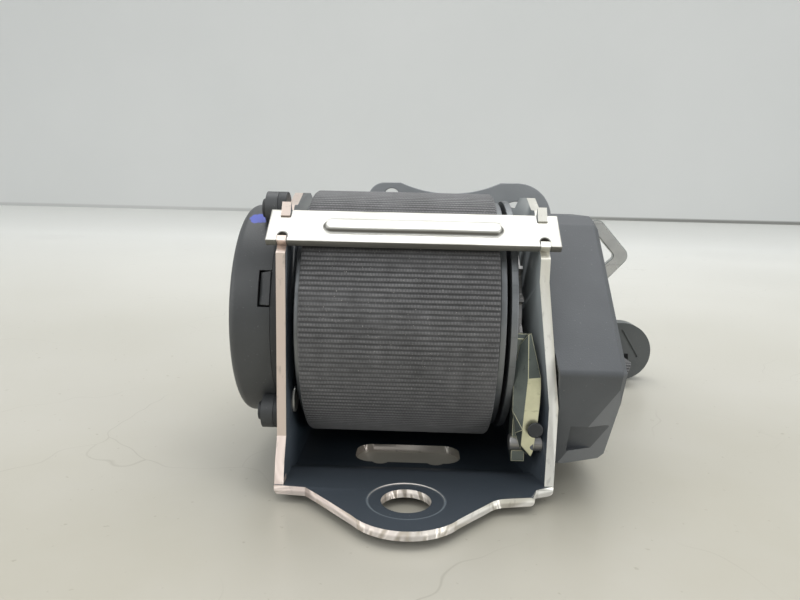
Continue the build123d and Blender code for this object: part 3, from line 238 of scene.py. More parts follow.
streaks = add(tree, "TexNoise", {"Vector": streaks, "Scale": 1.0, "Detail": 4.0}).outputs["Fac"]
tint = add(tree, "MapRange", {0: where.outputs["X"], 1: -0.02, 2: 0.02}).outputs[0]
steel = add(
    tree, "Mix", {0: tint, 6: linear("#e3d3c8"), 7: linear("#e9e7dd")}, data_type="RGBA"
).outputs[2]
worn = add(tree, "MapRange", {0: streaks, 1: 0.28, 2: 0.4, 3: 0.35, 4: 0.0}).outputs[0]
steel = add(tree, "Mix", {0: worn, 6: steel, 7: linear("#7d766e")}, data_type="RGBA").outputs[2]
torn = add(tree, "MapRange", {0: where.outputs["Z"], 1: 0.0033, 2: 0.0028, 4: 0.55}).outputs[0]
steel = add(tree, "Mix", {0: torn, 6: steel, 7: linear("#8b857a")}, data_type="RGBA").outputs[2]
colour = add(tree, "Mix", {0: bare, 6: paint, 7: steel}, data_type="RGBA").outputs[2]
smudge = add(tree, "MapRange", {0: cloudy, 3: 0.24, 4: 0.38}).outputs[0]
gloss = add(tree, "Mix", {0: bare, 2: smudge, 3: 0.42}).outputs[0]
metal = add(tree, "Math", {0: bare, 1: 0.75}, operation="MULTIPLY").outputs[0]
rough = add(tree, "Math", {0: streaks, 1: bare}, operation="MULTIPLY").outputs[0]
bump = add(tree, "Bump", {"Height": rough, "Distance": 0.00012, "Strength": 0.8}).outputs[0]
wire(tree, shader, Base_Color=colour, Roughness=gloss, Metallic=metal, Normal=bump)
print("paint and bare steel share", painted.name)

# %% [markdown]
# The tie bar, the rivet in the wall and the screws are zinc plated. Fresh zinc is almost white with
# faint grey clouds and thin handling marks. On the lock pawl the narrow strip and the rounded edges
# get a pale yellow zinc, partly its yellow passivation and partly a painted highlight, and the facets
# get a dark steel, a painted shade. The same steps, with other colours, make every other metal that
# isn't painted: chrome is the smoothest, oiled steel shines grey, spring steel is blue-grey from
# tempering, and the die-cast spool is the dullest. A painted shade is an attribute that only the tie
# bar has; elsewhere it reads as zero.

# %% Zinc plate and the other bare metals
def zinc_plate(name, pale, dull, roughness):
    """Metal of two colours, mixed by clouds about 8 mm wide and by long marks some 0.4 mm wide."""
    made, tree, shader = new_material(name, Metallic=0.85)
    place = add(tree, "TexCoord").outputs["Object"]
    clouds = add(tree, "TexNoise", {"Vector": place, "Scale": 120.0, "Detail": 5.0}).outputs["Fac"]
    clouds = add(tree, "MapRange", {0: clouds, 1: 0.4, 2: 0.68}).outputs[0]
    hairs = {0: place, "Rotation": (0.3, 0.5, 0.35), "Scale": (60.0, 2600.0, 900.0)}
    hairs = add(tree, "Mapping", hairs).outputs[0]
    hairs = add(tree, "TexNoise", {"Vector": hairs, "Scale": 1.0, "Detail": 2.0}).outputs["Fac"]
    marks = add(tree, "MapRange", {0: hairs, 1: 0.62, 2: 0.72, 4: 0.35}).outputs[0]
    blend = add(tree, "Math", {0: clouds, 1: 0.5, 2: marks}, operation="MULTIPLY_ADD").outputs[0]
    colour = add(tree, "Mix", {0: blend, 6: linear(pale), 7: linear(dull)}, data_type="RGBA").outputs[2]
    # Painted shade: a value stored per point darkens the zinc round the tie bar's bead, edges and dents.
    painted_shade = add(tree, "Attribute", attribute_name="painted_shade").outputs["Fac"]
    colour = add(tree, "Mix", {0: painted_shade, 6: colour, 7: linear("#2f2c26")}, data_type="RGBA").outputs[2]
    gloss = add(tree, "MapRange", {0: clouds, 3: roughness, 4: roughness + 0.14}).outputs[0]
    bump = add(tree, "Bump", {"Height": hairs, "Distance": 0.00004, "Strength": 0.6}).outputs[0]
    wire(tree, shader, Base_Color=colour, Roughness=gloss, Normal=bump)
    return made


zinc = zinc_plate("zinc_plate_bright", "#dddcd5", "#c3c2b9", 0.36)
zinc_yellow = zinc_plate("zinc_yellow_passivated_painted_highlight", "#e3e2c4", "#a9a887", 0.3)
chrome = zinc_plate("chrome_plate_polished", "#c6c7c5", "#969796", 0.26)
oiled = zinc_plate("turned_steel_oiled", "#a3a2a0", "#6f6c69", 0.3)
tempered = zinc_plate("spring_steel_tempered", "#70747d", "#4d4f57", 0.28)
cast = zinc_plate("die_cast_aluminium", "#85888a", "#5c5f61", 0.42)
dark_steel = zinc_plate("steel_dark_painted_shade_dull_edge", "#6f7672", "#494f4e", 0.34)
print("plated finishes:", zinc.name, zinc_yellow.name, chrome.name)

# %% [markdown]
# The housings are glass-filled nylon, moulded against a spark-eroded tool: a fine pebble grain
# about 0.3 mm across that scatters the light, with small differences in sheen. The loops and
# buttons are the same kind of plastic, polished smoother by use. The hidden gear and bushes are
# acetal, milky white and waxy, the anchor has a flat grey coat, and the seam's thread is almost
# black. One cover has a dab of blue paint, a spot whose rim a noise makes ragged. One slanting facet
# of the mechanism cover is paler, a painted highlight: the material compares the way a face points
# with the facet's own direction.

# %% Moulded nylon with a fine grain
def moulded(name, deep, lit, roughness, grain=0.0003, depth=0.00002, dab=None, painted_facet_light=None):
    """Grained plastic: Voronoi cells of the grain's size give height, slow clouds the colour and sheen."""
    made, tree, shader = new_material(name)
    place = add(tree, "TexCoord").outputs["Object"]
    pebbles = add(tree, "TexVoronoi", {"Vector": place, "Scale": 1 / grain}).outputs["Distance"]
    clouds = add(tree, "TexNoise", {"Vector": place, "Scale": 45.0, "Detail": 5.0}).outputs["Fac"]
    specks = add(tree, "TexNoise", {"Vector": place, "Scale": 2200.0, "Detail": 1.0}).outputs["Fac"]
    specks = add(tree, "MapRange", {0: specks, 1: 0.74, 2: 0.8, 4: 0.35}).outputs[0]
    mixed = add(tree, "MapRange", {0: clouds, 1: 0.3, 2: 0.7}).outputs[0]
    colour = add(tree, "Mix", {0: mixed, 6: linear(deep), 7: linear(lit)}, data_type="RGBA").outputs[2]
    colour = add(tree, "Mix", {0: specks, 6: colour, 7: linear("#9a9c9c")}, data_type="RGBA").outputs[2]
    if dab:
        away = add(tree, "VectorMath", {0: place, 1: dab}, operation="DISTANCE").outputs["Value"]
        brushed = add(tree, "TexNoise", {"Vector": place, "Scale": 700.0, "Detail": 2.0}).outputs["Fac"]
        away = add(tree, "Math", {0: brushed, 1: 0.0022, 2: away}, operation="MULTIPLY_ADD").outputs[0]
        mark = add(tree, "MapRange", {0: away, 1: 0.0037, 2: 0.0033, 4: 0.85}).outputs[0]
        colour = add(tree, "Mix", {0: mark, 6: colour, 7: linear("#4f5fc6")}, data_type="RGBA").outputs[2]
    # Painted highlight: faces that point along the given direction are painted paler.
    if painted_facet_light:
        facing = add(tree, "NewGeometry").outputs["True Normal"]
        facing = add(tree, "VectorMath", {0: facing, 1: painted_facet_light}, operation="DOT_PRODUCT")
        pale = add(tree, "MapRange", {0: facing.outputs["Value"], 1: 0.955, 2: 0.985, 4: 0.9}).outputs[0]
        colour = add(tree, "Mix", {0: pale, 6: colour, 7: linear("#74777a")}, data_type="RGBA").outputs[2]
    gloss = add(tree, "MapRange", {0: clouds, 3: roughness - 0.06, 4: roughness + 0.08}).outputs[0]
    bump = add(tree, "Bump", {"Height": pebbles, "Distance": depth, "Strength": 1.0}).outputs[0]
    wire(tree, shader, Base_Color=colour, Roughness=gloss, Normal=bump)
    return made


nylon_grey = moulded("nylon_moulded_charcoal", "#4b4e51", "#585b5e", 0.5)
nylon_facet_lit = moulded(
    "nylon_moulded_charcoal_painted_facet_light", "#484b4e", "#56595c", 0.5, painted_facet_light=(0.34, -0.8, -0.49)
)
nylon_black = moulded("nylon_moulded_black", "#2a2c2e", "#363839", 0.46)
nylon_smooth = moulded("nylon_moulded_smooth", "#4b4f4f", "#585b5b", 0.36, grain=0.0008, depth=0.00001)
acetal = moulded("acetal_natural", "#d8d5cc", "#e2dfd7", 0.4, grain=0.0006, depth=0.00001)
coated = moulded("steel_electrocoat_grey", "#85898b", "#989b9d", 0.34, grain=0.0007, depth=0.000015)
nylon_marked = moulded(
    "nylon_moulded_black_paint_dab", "#3a3c3d", "#494b4c", 0.4, dab=(-0.0395, 0.0275, 0.0660)
)
thread = moulded("polyester_thread_black", "#1d1c1c", "#2b2a2a", 0.7, grain=0.0004, depth=0.00003)
print("plastics:", nylon_grey.name, nylon_black.name, acetal.name)

# %% [markdown]
# CAD edges are razor sharp, but pressed, moulded or cast pieces have small radii that catch the
# light. The next function copies a node's mesh, merges its loose triangles back into flat faces,
# and bevels each edge that turns by more than a few degrees. Bends with a larger radius are given
# by a test on the edge and are rounded first.

# %% Copy a node with softened edges
def finish_mesh(name, bm, material, body, smooth=40):
    """Object from a bmesh, on a body: smooth shading, sharp where faces meet at more than the angle."""
    mesh = bpy.data.meshes.new(name)
    bm.to_mesh(mesh)
    bm.free()
    mesh.shade_smooth()
    mesh.set_sharp_from_angle(angle=radians(smooth))
    mesh.materials.append(material)
    made = bpy.data.objects.new(name, mesh)
    scene.collection.objects.link(made)
    made.modifiers.new("even_normals", "WEIGHTED_NORMAL").keep_sharp = True
    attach(made, body)
    return made


def node_bmesh(node):
    """bmesh of a CAD node with its triangles merged into flat faces."""
    bm = bmesh.new()
    bm.from_mesh(frame["nodes"][node].data)
    bmesh.ops.remove_doubles(bm, verts=bm.verts, dist=1e-6)
    bmesh.ops.dissolve_limit(bm, angle_limit=radians(0.6), verts=bm.verts, edges=bm.edges)
    return bm


def round_edges(bm, radius, segments=2, test=None, angle=24, trim=-1):
    """Bevels the edges that the test picks and whose faces meet at more than the angle.

    The new faces get the material slot trim, or with -1 that of their neighbours.
    """
    picked = [
        edge for edge in bm.edges
        if len(edge.link_faces) == 2 and edge.calc_face_angle(0) > radians(angle)
        and (test is None or test(edge))
    ]
    bmesh.ops.bevel(
        bm, geom=picked, offset=radius, segments=segments, profile=0.5, affect="EDGES",
        clamp_overlap=True, material=trim
    )


owner = {node: body for body, nodes in frame["record"]["behaviour"]["bodies"].items() for node in nodes}


def softened(node, material, radius, segments=2, trim=None):
    """The node's shape with rounded edges, in place of the node. Trim is a finish for those edges."""
    bm = node_bmesh(node)
    round_edges(bm, radius * 0.001, segments, trim=1 if trim else -1)
    made = finish_mesh(node + "_soft", bm, material, owner[node])
    if trim:
        made.data.materials.append(trim)
    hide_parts(node)
    return made


print("bodies:", sorted(set(owner.values())))

# %% [markdown]
# The frame's sheet is bent, not glued: the walls rise from the base plate over a radius, and the
# step below the bolt tab is soft as well. These long edges are rounded first, the cut edges after.
# The prongs that hold the tie bar are hammered over: a table gives their corners, in millimetres
# along the bar's width and out from its underside, before and after. The bar leans back by the
# tilt, and its place is counted from the spool's axis.

# %% The pressed frame
def foot_edge(edge):
    """True for the long edges between base and walls."""
    middle = (edge.verts[0].co + edge.verts[1].co) / 2
    long = abs(edge.verts[1].co.y - edge.verts[0].co.y) > 0.0035
    return long and abs(middle.x) > 0.0289 and middle.z < 0.0045


def step_edge(edge):
    """True for the edges across the step below the bolt tab."""
    middle = (edge.verts[0].co + edge.verts[1].co) / 2
    return abs(edge.verts[1].co.x - edge.verts[0].co.x) > 0.02 and 0.016 < middle.y < 0.023


axis = np.array((0.0, 0.0405, 0.041))
tilt = radians(41.4)
bar_along = np.array((0.0, cos(tilt), sin(tilt)))
bar_out = np.array((0.0, -sin(tilt), cos(tilt)))
bar_low = axis + 0.0342 * bar_out - 0.0037 * bar_along
staked = {(-2.7, 3.9): (-3.7, 1.9), (-2.7, 0.0): (-3.7, 0.0), (-5.2, 3.9): (-5.3, 1.8),
          (2.7, 3.9): (2.8, 2.1), (5.2, 3.9): (6.2, 3.4), (5.2, 0.0): (7.4, 0.0)}
bm = node_bmesh("frame")
for vertex in bm.verts:
    spot = np.array(vertex.co) - bar_low
    place = (round(float(spot @ bar_along) * 1000, 1), round(float(spot @ bar_out) * 1000, 1) + 0.0)
    if place in staked:
        shift = (np.array(staked[place]) - place) * 0.001
        vertex.co += Vector(bar_along * shift[0] + bar_out * shift[1])
round_edges(bm, 0.0028, 5, lambda edge: foot_edge(edge) and edge.is_convex, angle=50)
round_edges(bm, 0.001, 3, lambda edge: foot_edge(edge) and not edge.is_convex, angle=50)
round_edges(bm, 0.002, 3, step_edge, angle=8)
round_edges(bm, 0.0003, 2)
pressed_frame = finish_mesh("frame_pressed", bm, painted, owner["frame"])
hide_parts("frame")
print("frame faces:", len(pressed_frame.data.polygons))

# %% [markdown]
# Most other rigid pieces only need their edges softened and their real finish. The radius, in
# millimetres, is what the making of each leaves: a tumbled screw has 0.25, a moulded loop nearly 2.
# The tongue's stamped edge is duller than its polished faces and gets a finish of its own.
# The spring cover's outer face bulges 0.9 mm in the photograph, so its points there move outwards.

# %% Softened pieces
for node, material, radius, segments in (
    ("wall_rivet", zinc, 0.2, 2),
    ("spool", cast, 0.25, 2),
    ("ratchet_ring", oiled, 0.15, 1),
    ("spring_cover", nylon_marked, 0.5, 3),
    ("mechanism_cover", nylon_facet_lit, 0.7, 3),
    *((f"spring_rivet_{k}", nylon_black, 0.4, 2) for k in (1, 2, 3)),
    ("pawl_knob", nylon_black, 0.35, 2),
    ("pawl_pin", oiled, 0.25, 2),
    ("mechanism_base", nylon_grey, 0.2, 1),
    *((f"mechanism_screw_{k}", zinc, 0.25, 2) for k in (1, 2, 3)),
    ("webbing_guide", nylon_black, 0.5, 3),
    ("anchor_plate", coated, 0.5, 3),
    ("tongue_body", nylon_black, 1.6, 4),
    ("pillar_plate", oiled, 0.4, 2),
    ("pillar_cover", nylon_smooth, 1.9, 4),
    ("stop_button", nylon_smooth, 0.4, 3),
    ("stop_button_back", nylon_smooth, 0.4, 3),
):
    softened(node, material, radius, segments)
softened("tongue_plate", chrome, 0.55, 3, trim=dark_steel)
cover = bpy.data.objects["spring_cover_soft"].data
places = np.empty(len(cover.vertices) * 3)
cover.vertices.foreach_get("co", places)
places = places.reshape(-1, 3)
places[:, 0] -= 0.0009 * (places[:, 0] < -0.041)
cover.vertices.foreach_set("co", places.ravel())

# %% [markdown]
# The spring side's base plate has a snap tab that reaches through the window of its cover. Its
# points beyond the plate's face are drawn inwards a little, so that the window reads as a recess.

# %% The snap tab
bm = node_bmesh("spring_base")
for vertex in bm.verts:
    if vertex.co.x < -0.0339:
        outward = Vector((0.0, vertex.co.y - axis[1], vertex.co.z - axis[2])).normalized()
        vertex.co -= outward * 0.0011
round_edges(bm, 0.0003, 2)
snap = finish_mesh("spring_base_soft", bm, nylon_black, "frame")
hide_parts("spring_base")
print("snap tab drawn in by 1.1 mm")

# %% [markdown]
# The lock pawl is forged: its front is a lens of flat facets, with a narrow bright strip where the
# die closed. The facets are a few points, joined one by one. Each point is named by its place in
# millimetres. The back is the same outline further in: as deep as the CAD piece on the left, and
# thin on the right, where the pawl swings past the front edge of the wall.

# %% The lock pawl
rim = [(27.9, 11.5, 41.3), (26.2, 12.6, 38.6), (25.1, 12.4, 33.0), (25.0, 12.4, 28.5),
       (25.1, 12.4, 22.1), (26.0, 12.2, 16.5), (27.4, 12.0, 12.5), (30.0, 11.6, 10.8)]
edge_right = [(30.4, 11.2, 12.3), (31.1, 11.0, 19.4), (31.4, 11.0, 24.2), (31.5, 11.2, 28.4),
              (31.3, 11.0, 30.8), (28.5, 11.3, 41.5)]
ridge = [(28.2, 10.4, 30.6), (27.5, 10.4, 18.0), (27.3, 10.7, 14.0)]
facets = [(0, 1, 2, 14), (0, 14, 12, 13), (2, 3, 14), (3, 4, 15, 14), (4, 5, 15), (5, 6, 16, 15),
          (6, 7, 16)]
strip = [(14, 15, 9, 10, 11, 12), (15, 16, 7, 8, 9)]
bm = node_bmesh("lock_pawl")
bmesh.ops.bisect_plane(
    bm, geom=bm.verts[:] + bm.edges[:] + bm.faces[:], plane_co=(0, 0.0128, 0),
    plane_no=(0, -1, 0), clear_outer=True
)
bmesh.ops.holes_fill(bm, edges=[edge for edge in bm.edges if edge.is_boundary])
front = [bm.verts.new(Vector(point) / 1000) for point in rim + edge_right + ridge]
back_y = [12.2] + [14.2] * 8 + [13.3, 12.5, 11.9, 11.8, 11.8]
back = [bm.verts.new((x / 1000, y / 1000, z / 1000)) for (x, _, z), y in zip(rim + edge_right, back_y)]
# Slot 1 is the pale yellow zinc: on the strip it is partly the pawl's passivation and partly a painted
# highlight. The dark steel of the facets is a painted shade.
for corners in facets + strip:
    bm.faces.new([front[k] for k in corners]).material_index = int(corners in strip)
count = len(back)
for k in range(count):
    bm.faces.new((front[k], front[(k + 1) % count], back[(k + 1) % count], back[k]))
bm.faces.new(back)
bmesh.ops.recalc_face_normals(bm, faces=bm.faces)
# The rounded edges take slot 1 as well, as painted highlights.
round_edges(bm, 0.0004, 3, angle=7, trim=1)
pawl = finish_mesh("lock_pawl_forged", bm, dark_steel, owner["lock_pawl"], smooth=30)
pawl.data.materials.append(zinc_yellow)
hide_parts("lock_pawl")
print("pawl faces:", len(pawl.data.polygons))

# %% [markdown]
# Some pieces are inside the housings or the spool. They keep their CAD shape and get the finish of
# the real piece.

# %% Hidden pieces
for material, nodes in (
    (oiled, ("torsion_bar", "webbing_pin", "lever_pin")),
    (acetal, ("left_bush", "right_bush", "spring_arbor", "lock_gear", "sensor_housing", "sensor_lever")),
    (tempered, ("mainspring", "inertia_spring", "pawl_return_spring")),
    (cast, ("inertia_disc",)),
    (chrome, ("sensor_ball",)),
):
    for node in nodes:
        mesh = frame["nodes"][node].data
        mesh.materials.clear()
        mesh.materials.append(material)
    print(material.name, "on", ", ".join(nodes))

# %% [markdown]
# Belt webbing is a flat strap, so all its pieces come from one function. It carries a rounded
# rectangle along a centre line: for each point of the line and each point of the profile, the
# place is centre + across x v + normal x w. The ribs of the weave are in the shape as well, so
# that they show at the outline.

# %% A strap along a line
def strap(name, centre, across, normal, width=0.047, thick=0.00114, ribs=0.00005, body="frame"):
    """Closed strap: centre + across * v + normal * w, over the line and a rounded profile of 22 points."""
    count = len(centre)
    run = np.linalg.norm(np.diff(centre, axis=0), axis=1)
    length = np.concatenate(([0.0], np.cumsum(run)))
    half, edge = width / 2, thick / 2
    flat = np.linspace(-half + edge, half - edge, 9)
    bend = np.radians([20, -20])
    v = (flat, half - edge + edge * np.cos(bend), flat[::-1], -half + edge - edge * np.cos(bend))
    v = np.concatenate(v)
    w = np.concatenate((np.full(9, edge), edge * np.sin(bend), np.full(9, -edge), -edge * np.sin(bend)))
    side = np.concatenate((np.ones(9), np.zeros(2), -np.ones(9), np.zeros(2)))
    wave = ribs * (0.5 + 0.5 * np.sin(2 * pi * length / rib_pitch)) - ribs
    depth = w[None, :] + side[None, :] * wave[:, None]
    across = np.broadcast_to(across, (count, 3))
    points = centre[:, None] + across[:, None] * v[None, :, None] + normal[:, None] * depth[:, :, None]
    m = len(v)
    i, j = np.meshgrid(np.arange(count - 1), np.arange(m), indexing="ij")
    k = (j + 1) % m
    quads = np.stack((i * m + j, i * m + k, (i + 1) * m + k, (i + 1) * m + j), axis=-1).reshape(-1, 4)
    ends = [list(range(m))[::-1], list(range((count - 1) * m, count * m))]
    mesh = bpy.data.meshes.new(name)
    mesh.from_pydata(points.reshape(-1, 3).tolist(), [], quads.tolist() + ends)
    layer = mesh.uv_layers.new(name="strap")
    index = np.empty(len(mesh.loops), dtype=np.int32)
    mesh.loops.foreach_get("vertex_index", index)
    coords = np.stack((length[index // m], v[index % m] + half), axis=-1)
    layer.data.foreach_set("uv", coords.astype(np.float32).ravel())
    bm = bmesh.new()
    bm.from_mesh(mesh)
    bmesh.ops.recalc_face_normals(bm, faces=bm.faces)
    bm.to_mesh(mesh)
    bm.free()
    mesh.shade_smooth()
    mesh.materials.append(webbing)
    made = bpy.data.objects.new(name, mesh)
    scene.collection.objects.link(made)
    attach(made, body)
    return made, float(length[-1])


print("a strap is 47 mm wide and 1.14 mm thick")

# %% [markdown]
# On the spool the belt is wound as a spiral. Its radius grows by one thickness, 1.2 mm, each turn,
# up to 33.4 mm outside. The outermost turns are sampled finely enough to carry the ribs, the inner
# ones only show their edges. No two turns lie exactly level, so the edges wander a little.

# %% The webbing on the spool
web_middle = -0.0029
outer_r, inner_r, layer = 0.0328, 0.0157, 0.0012
turns = (outer_r - inner_r) / layer
fine = np.arange(0, 2 * pi * 1.04, rib_pitch / 6 / outer_r)
coarse = np.arange(fine[-1] + radians(3), 2 * pi * turns, radians(4))
phi = np.concatenate((fine, coarse))
radius = outer_r - layer * phi / (2 * pi)
bearing = -pi / 2 - phi
outward = np.stack((np.zeros_like(phi), np.cos(bearing), np.sin(bearing)), axis=-1)
drift = 0.00016 * np.sin(phi * 0.37) + 0.00008 * np.sin(phi * 1.31 + 1.0)
line = axis + outward * radius[:, None]
line[:, 0] = web_middle + drift
wound, wound_length = strap("webbing_wound", line, (1.0, 0.0, 0.0), outward, body="spool")
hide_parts("webbing_roll")
print("wound length", round(wound_length, 3), "m in", round(turns, 1), "turns")

# %% [markdown]
# Off the spool the strap runs straight, turns over small radii and lies flat. A path is a list of
# corners, each given a radius. Between corners the line is straight, and round one it is an arc.
# The loose end comes into the pillar loop a little from the left, as a belt that was just dropped.

# %% Paths with rounded corners
def soft_path(corners, radius, step=0.0006):
    """Straight runs joined by arcs: each arc starts radius * tan(half the turn) before its corner."""
    corners = [np.array(c, dtype=float) for c in corners]
    pieces = [corners[0][None]]
    for before, here, after in zip(corners, corners[1:], corners[2:]):
        a = (before - here) / np.linalg.norm(before - here)
        b = (after - here) / np.linalg.norm(after - here)
        half = np.arccos(np.clip(a @ b, -1, 1)) / 2
        cut = radius / np.tan(half)
        middle = here + (a + b) / np.linalg.norm(a + b) * radius / np.sin(half)
        begin, end = here + a * cut - middle, here + b * cut - middle
        sweep = pi - 2 * half
        t = np.linspace(0, 1, max(5, int(radius * sweep / step)))[:, None]
        arc = (np.sin((1 - t) * sweep) * begin + np.sin(t * sweep) * end) / np.sin(sweep)
        pieces.append(middle + arc)
    pieces.append(corners[-1][None])
    rough = np.concatenate(pieces)
    run = np.concatenate(([0.0], np.cumsum(np.linalg.norm(np.diff(rough, axis=0), axis=1))))
    even = np.arange(0, run[-1], step)
    return np.stack([np.interp(even, run, rough[:, k]) for k in range(3)], axis=-1)


def normals(line, across):
    """Unit normal of a strap at each point: tangent x across."""
    tangent = np.gradient(line, axis=0)
    tangent /= np.linalg.norm(tangent, axis=1)[:, None]
    normal = np.cross(tangent, np.broadcast_to(across, line.shape))
    return normal / np.linalg.norm(normal, axis=1)[:, None]


across_x = np.array((1.0, 0.0, 0.0))
lead_line = soft_path(
    [(web_middle, 0.0405, 0.0069), (web_middle, 0.0745, 0.0069), (web_middle, 0.0805, 0.0008),
     (web_middle, 0.0993, 0.0008), (web_middle, 0.0993, 0.034)], 0.0016
)
lead, lead_length = strap("webbing_leaving", lead_line, across_x, normals(lead_line, across_x))
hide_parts("webbing_lead")
tail_line = soft_path(
    [(0.0555, 0.0985, 0.0008), (0.0595, 0.109, 0.0008), (0.064, 0.1135, 0.009), (0.064, 0.141, 0.009),
     (0.064, 0.146, 0.0008), (0.064, 0.158, 0.0008)], 0.0025
)
tail, tail_length = strap("webbing_loose_end", tail_line, across_x, normals(tail_line, across_x))
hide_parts("webbing_tail")
print("lead", round(lead_length, 3), "m, tail", round(tail_length, 3), "m")

# %% [markdown]
# Behind the frame the belt is folded like a fire hose and stands on its edge. The line runs to and
# fro, one strap thickness apart, with a hairpin at each end. The hairpins don't end at one place,
# which is what makes a stack of folds look handled.

# %% The folded webbing
runs = 12
spacing = 0.00132
first_y = 0.0829
height = 0.0252
angles = np.linspace(-pi / 2, pi / 2, 9)[1:-1]
rng = np.random.default_rng(7)
lefts = -0.0445 + rng.uniform(0.0, 0.006, runs)
rights = 0.0495 - rng.uniform(0.0, 0.006, runs)
fold_points = []
for k in range(runs):
    y = first_y + k * spacing
    start, end = lefts[k // 2 * 2], rights[(k + 1) // 2 * 2 - 1 if k else 0]
    if k % 2:
        start, end = end, start
    xs = np.linspace(start, end, 60)
    fold_points.append(np.stack((xs, np.full(60, y), np.full(60, height)), axis=-1))
    if k < runs - 1:
        side = 1 if k % 2 == 0 else -1
        fold_x = end + side * spacing / 2 * np.cos(angles)
        fold_y = y + spacing / 2 + spacing / 2 * np.sin(angles)
        fold_points.append(np.stack((fold_x, fold_y, np.full(7, height)), axis=-1))
folds_line = np.concatenate(fold_points)
print("folds:", runs, "runs,", len(folds_line), "points")
folds, folds_length = strap(
    "webbing_folds", folds_line, (0.0, 0.0, 1.0), normals(folds_line, np.array((0.0, 0.0, 1.0)))
)
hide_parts("webbing_bundle")
print("folded length", round(folds_length, 3), "m")

# %% [markdown]
# The lap end of the belt goes round the bar of the anchor plate and is sewn to itself. Seen from
# the side it is a hairpin: wide where it holds the bar, and closed below it, where the stitches
# pull the two layers together.

# %% The sewn end
def tilted(along_2d, middle):
    """Along and across a piece that stands at an angle, both in the upright plane, and its middle."""
    along = np.array((along_2d[0], 0.0, along_2d[1]))
    return along, np.array((-along[2], 0.0, along[0])), np.array(middle)


eye = np.array((0.0335, 0.0662)) - np.array((0.0005, 0.0500))
eye_way = eye / np.linalg.norm(eye)
end_along, end_across, end_middle = tilted(eye_way, (0.0005, 0.07885, 0.0500))
gap_half, close_half, loop_top = 0.00217, 0.00064, -0.0013
opens_at, opens_over = -0.0125, 0.0055
reach_down = np.linspace(-0.0272, loop_top, 60)
ramp_share = np.clip((reach_down - opens_at) / opens_over, 0, 1)
ramp_share = ramp_share ** 2 * (3 - 2 * ramp_share)
front_y = -(close_half + (gap_half - close_half) * ramp_share)
bow = np.linspace(-pi / 2, pi / 2, 15)[1:-1]
loop_a = np.concatenate((reach_down, loop_top + gap_half * np.cos(bow) * 0.75, reach_down[::-1]))
loop_y = np.concatenate((front_y, gap_half * np.sin(bow), -front_y[::-1]))
end_line = end_middle + end_along * loop_a[:, None] + np.array((0.0, 1.0, 0.0)) * loop_y[:, None]
sewn, sewn_length = strap("webbing_sewn_end", end_line, end_across, normals(end_line, end_across))
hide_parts("webbing_end")
print("sewn end", round(sewn_length, 3), "m")

# %% [markdown]
# The seam is a box with a cross of thick thread. One stitch is a short bead, 2.4 mm long, sunk
# at both ends. The bead is worked out once and copied along the seam as whole arrays.

# %% The seam
def stitches(name, starts, ends, out, body):
    """Beads from starts to ends: circles of radius r * sqrt(sin(pi t)) on a line lifted by a half sine."""
    t = np.linspace(0, 1, 7)
    ring = np.linspace(0, 2 * pi, 6, endpoint=False)
    size = 0.0003 * np.sqrt(np.sin(pi * np.clip(t, 0.02, 0.98)))
    along = ends - starts
    unit = along / np.linalg.norm(along, axis=1)[:, None]
    flat = np.cross(np.broadcast_to(out, unit.shape), unit)
    lift = out * (0.00022 * np.sin(pi * t))[None, :, None]
    middle = starts[:, None] + along[:, None] * t[None, :, None] + lift
    circle = flat[:, None, :] * np.cos(ring)[None, :, None] + out * np.sin(ring)[None, :, None]
    points = middle[:, :, None] + circle[:, None] * size[None, :, None, None]
    n, m, k = points.shape[:3]
    a, i, j = np.meshgrid(np.arange(n), np.arange(m - 1), np.arange(k), indexing="ij")
    here, there = a * m * k + i * k, a * m * k + (i + 1) * k
    beside = (j + 1) % k
    quads = np.stack((here + j, here + beside, there + beside, there + j), axis=-1).reshape(-1, 4)
    first = (np.arange(n) * m * k)[:, None] + np.arange(k)[None, ::-1]
    last = (np.arange(n) * m * k + (m - 1) * k)[:, None] + np.arange(k)[None]
    mesh = bpy.data.meshes.new(name)
    mesh.from_pydata(points.reshape(-1, 3).tolist(), [], quads.tolist() + first.tolist() + last.tolist())
    bm = bmesh.new()
    bm.from_mesh(mesh)
    bmesh.ops.recalc_face_normals(bm, faces=bm.faces)
    return finish_mesh(name, bm, thread, body, smooth=80)


def seam_box(middle, along, across, low, high, half, out, name, body):
    """Stitches every 3 mm along a box from low to high, its two diagonals and one end again."""
    box = [(low, -half), (low, half), (high, half), (high, -half), (low, -half)]
    corners = box + [(high, half), (high, -half), (low, half)]
    starts, ends = [], []
    for a, b in zip(corners, corners[1:]):
        a, b = np.array(a), np.array(b)
        count = int(np.linalg.norm(b - a) / 0.003)
        t = np.arange(count) / count
        starts.append(a + (b - a) * t[:, None])
        ends.append(a + (b - a) * (t + 0.8 / count)[:, None])
    starts, ends = (
        middle + along * flat[:, :1] + across * flat[:, 1:] + out * 0.0013
        for flat in (np.concatenate(starts), np.concatenate(ends))
    )
    return stitches(name, starts, ends, out, body)


for name, out in (("seam_front", (0.0, -1.0, 0.0)), ("seam_back", (0.0, 1.0, 0.0))):
    out = np.array(out)
    seam = seam_box(end_middle, end_along, end_across, -0.0262, -0.0135, 0.0195, out, name, "frame")
print("stitches in a seam:", len(seam.data.polygons) // 38)

# %% [markdown]
# The belt passes through the tongue edge on: a short run of the same strap, its flat side facing
# along the tongue.

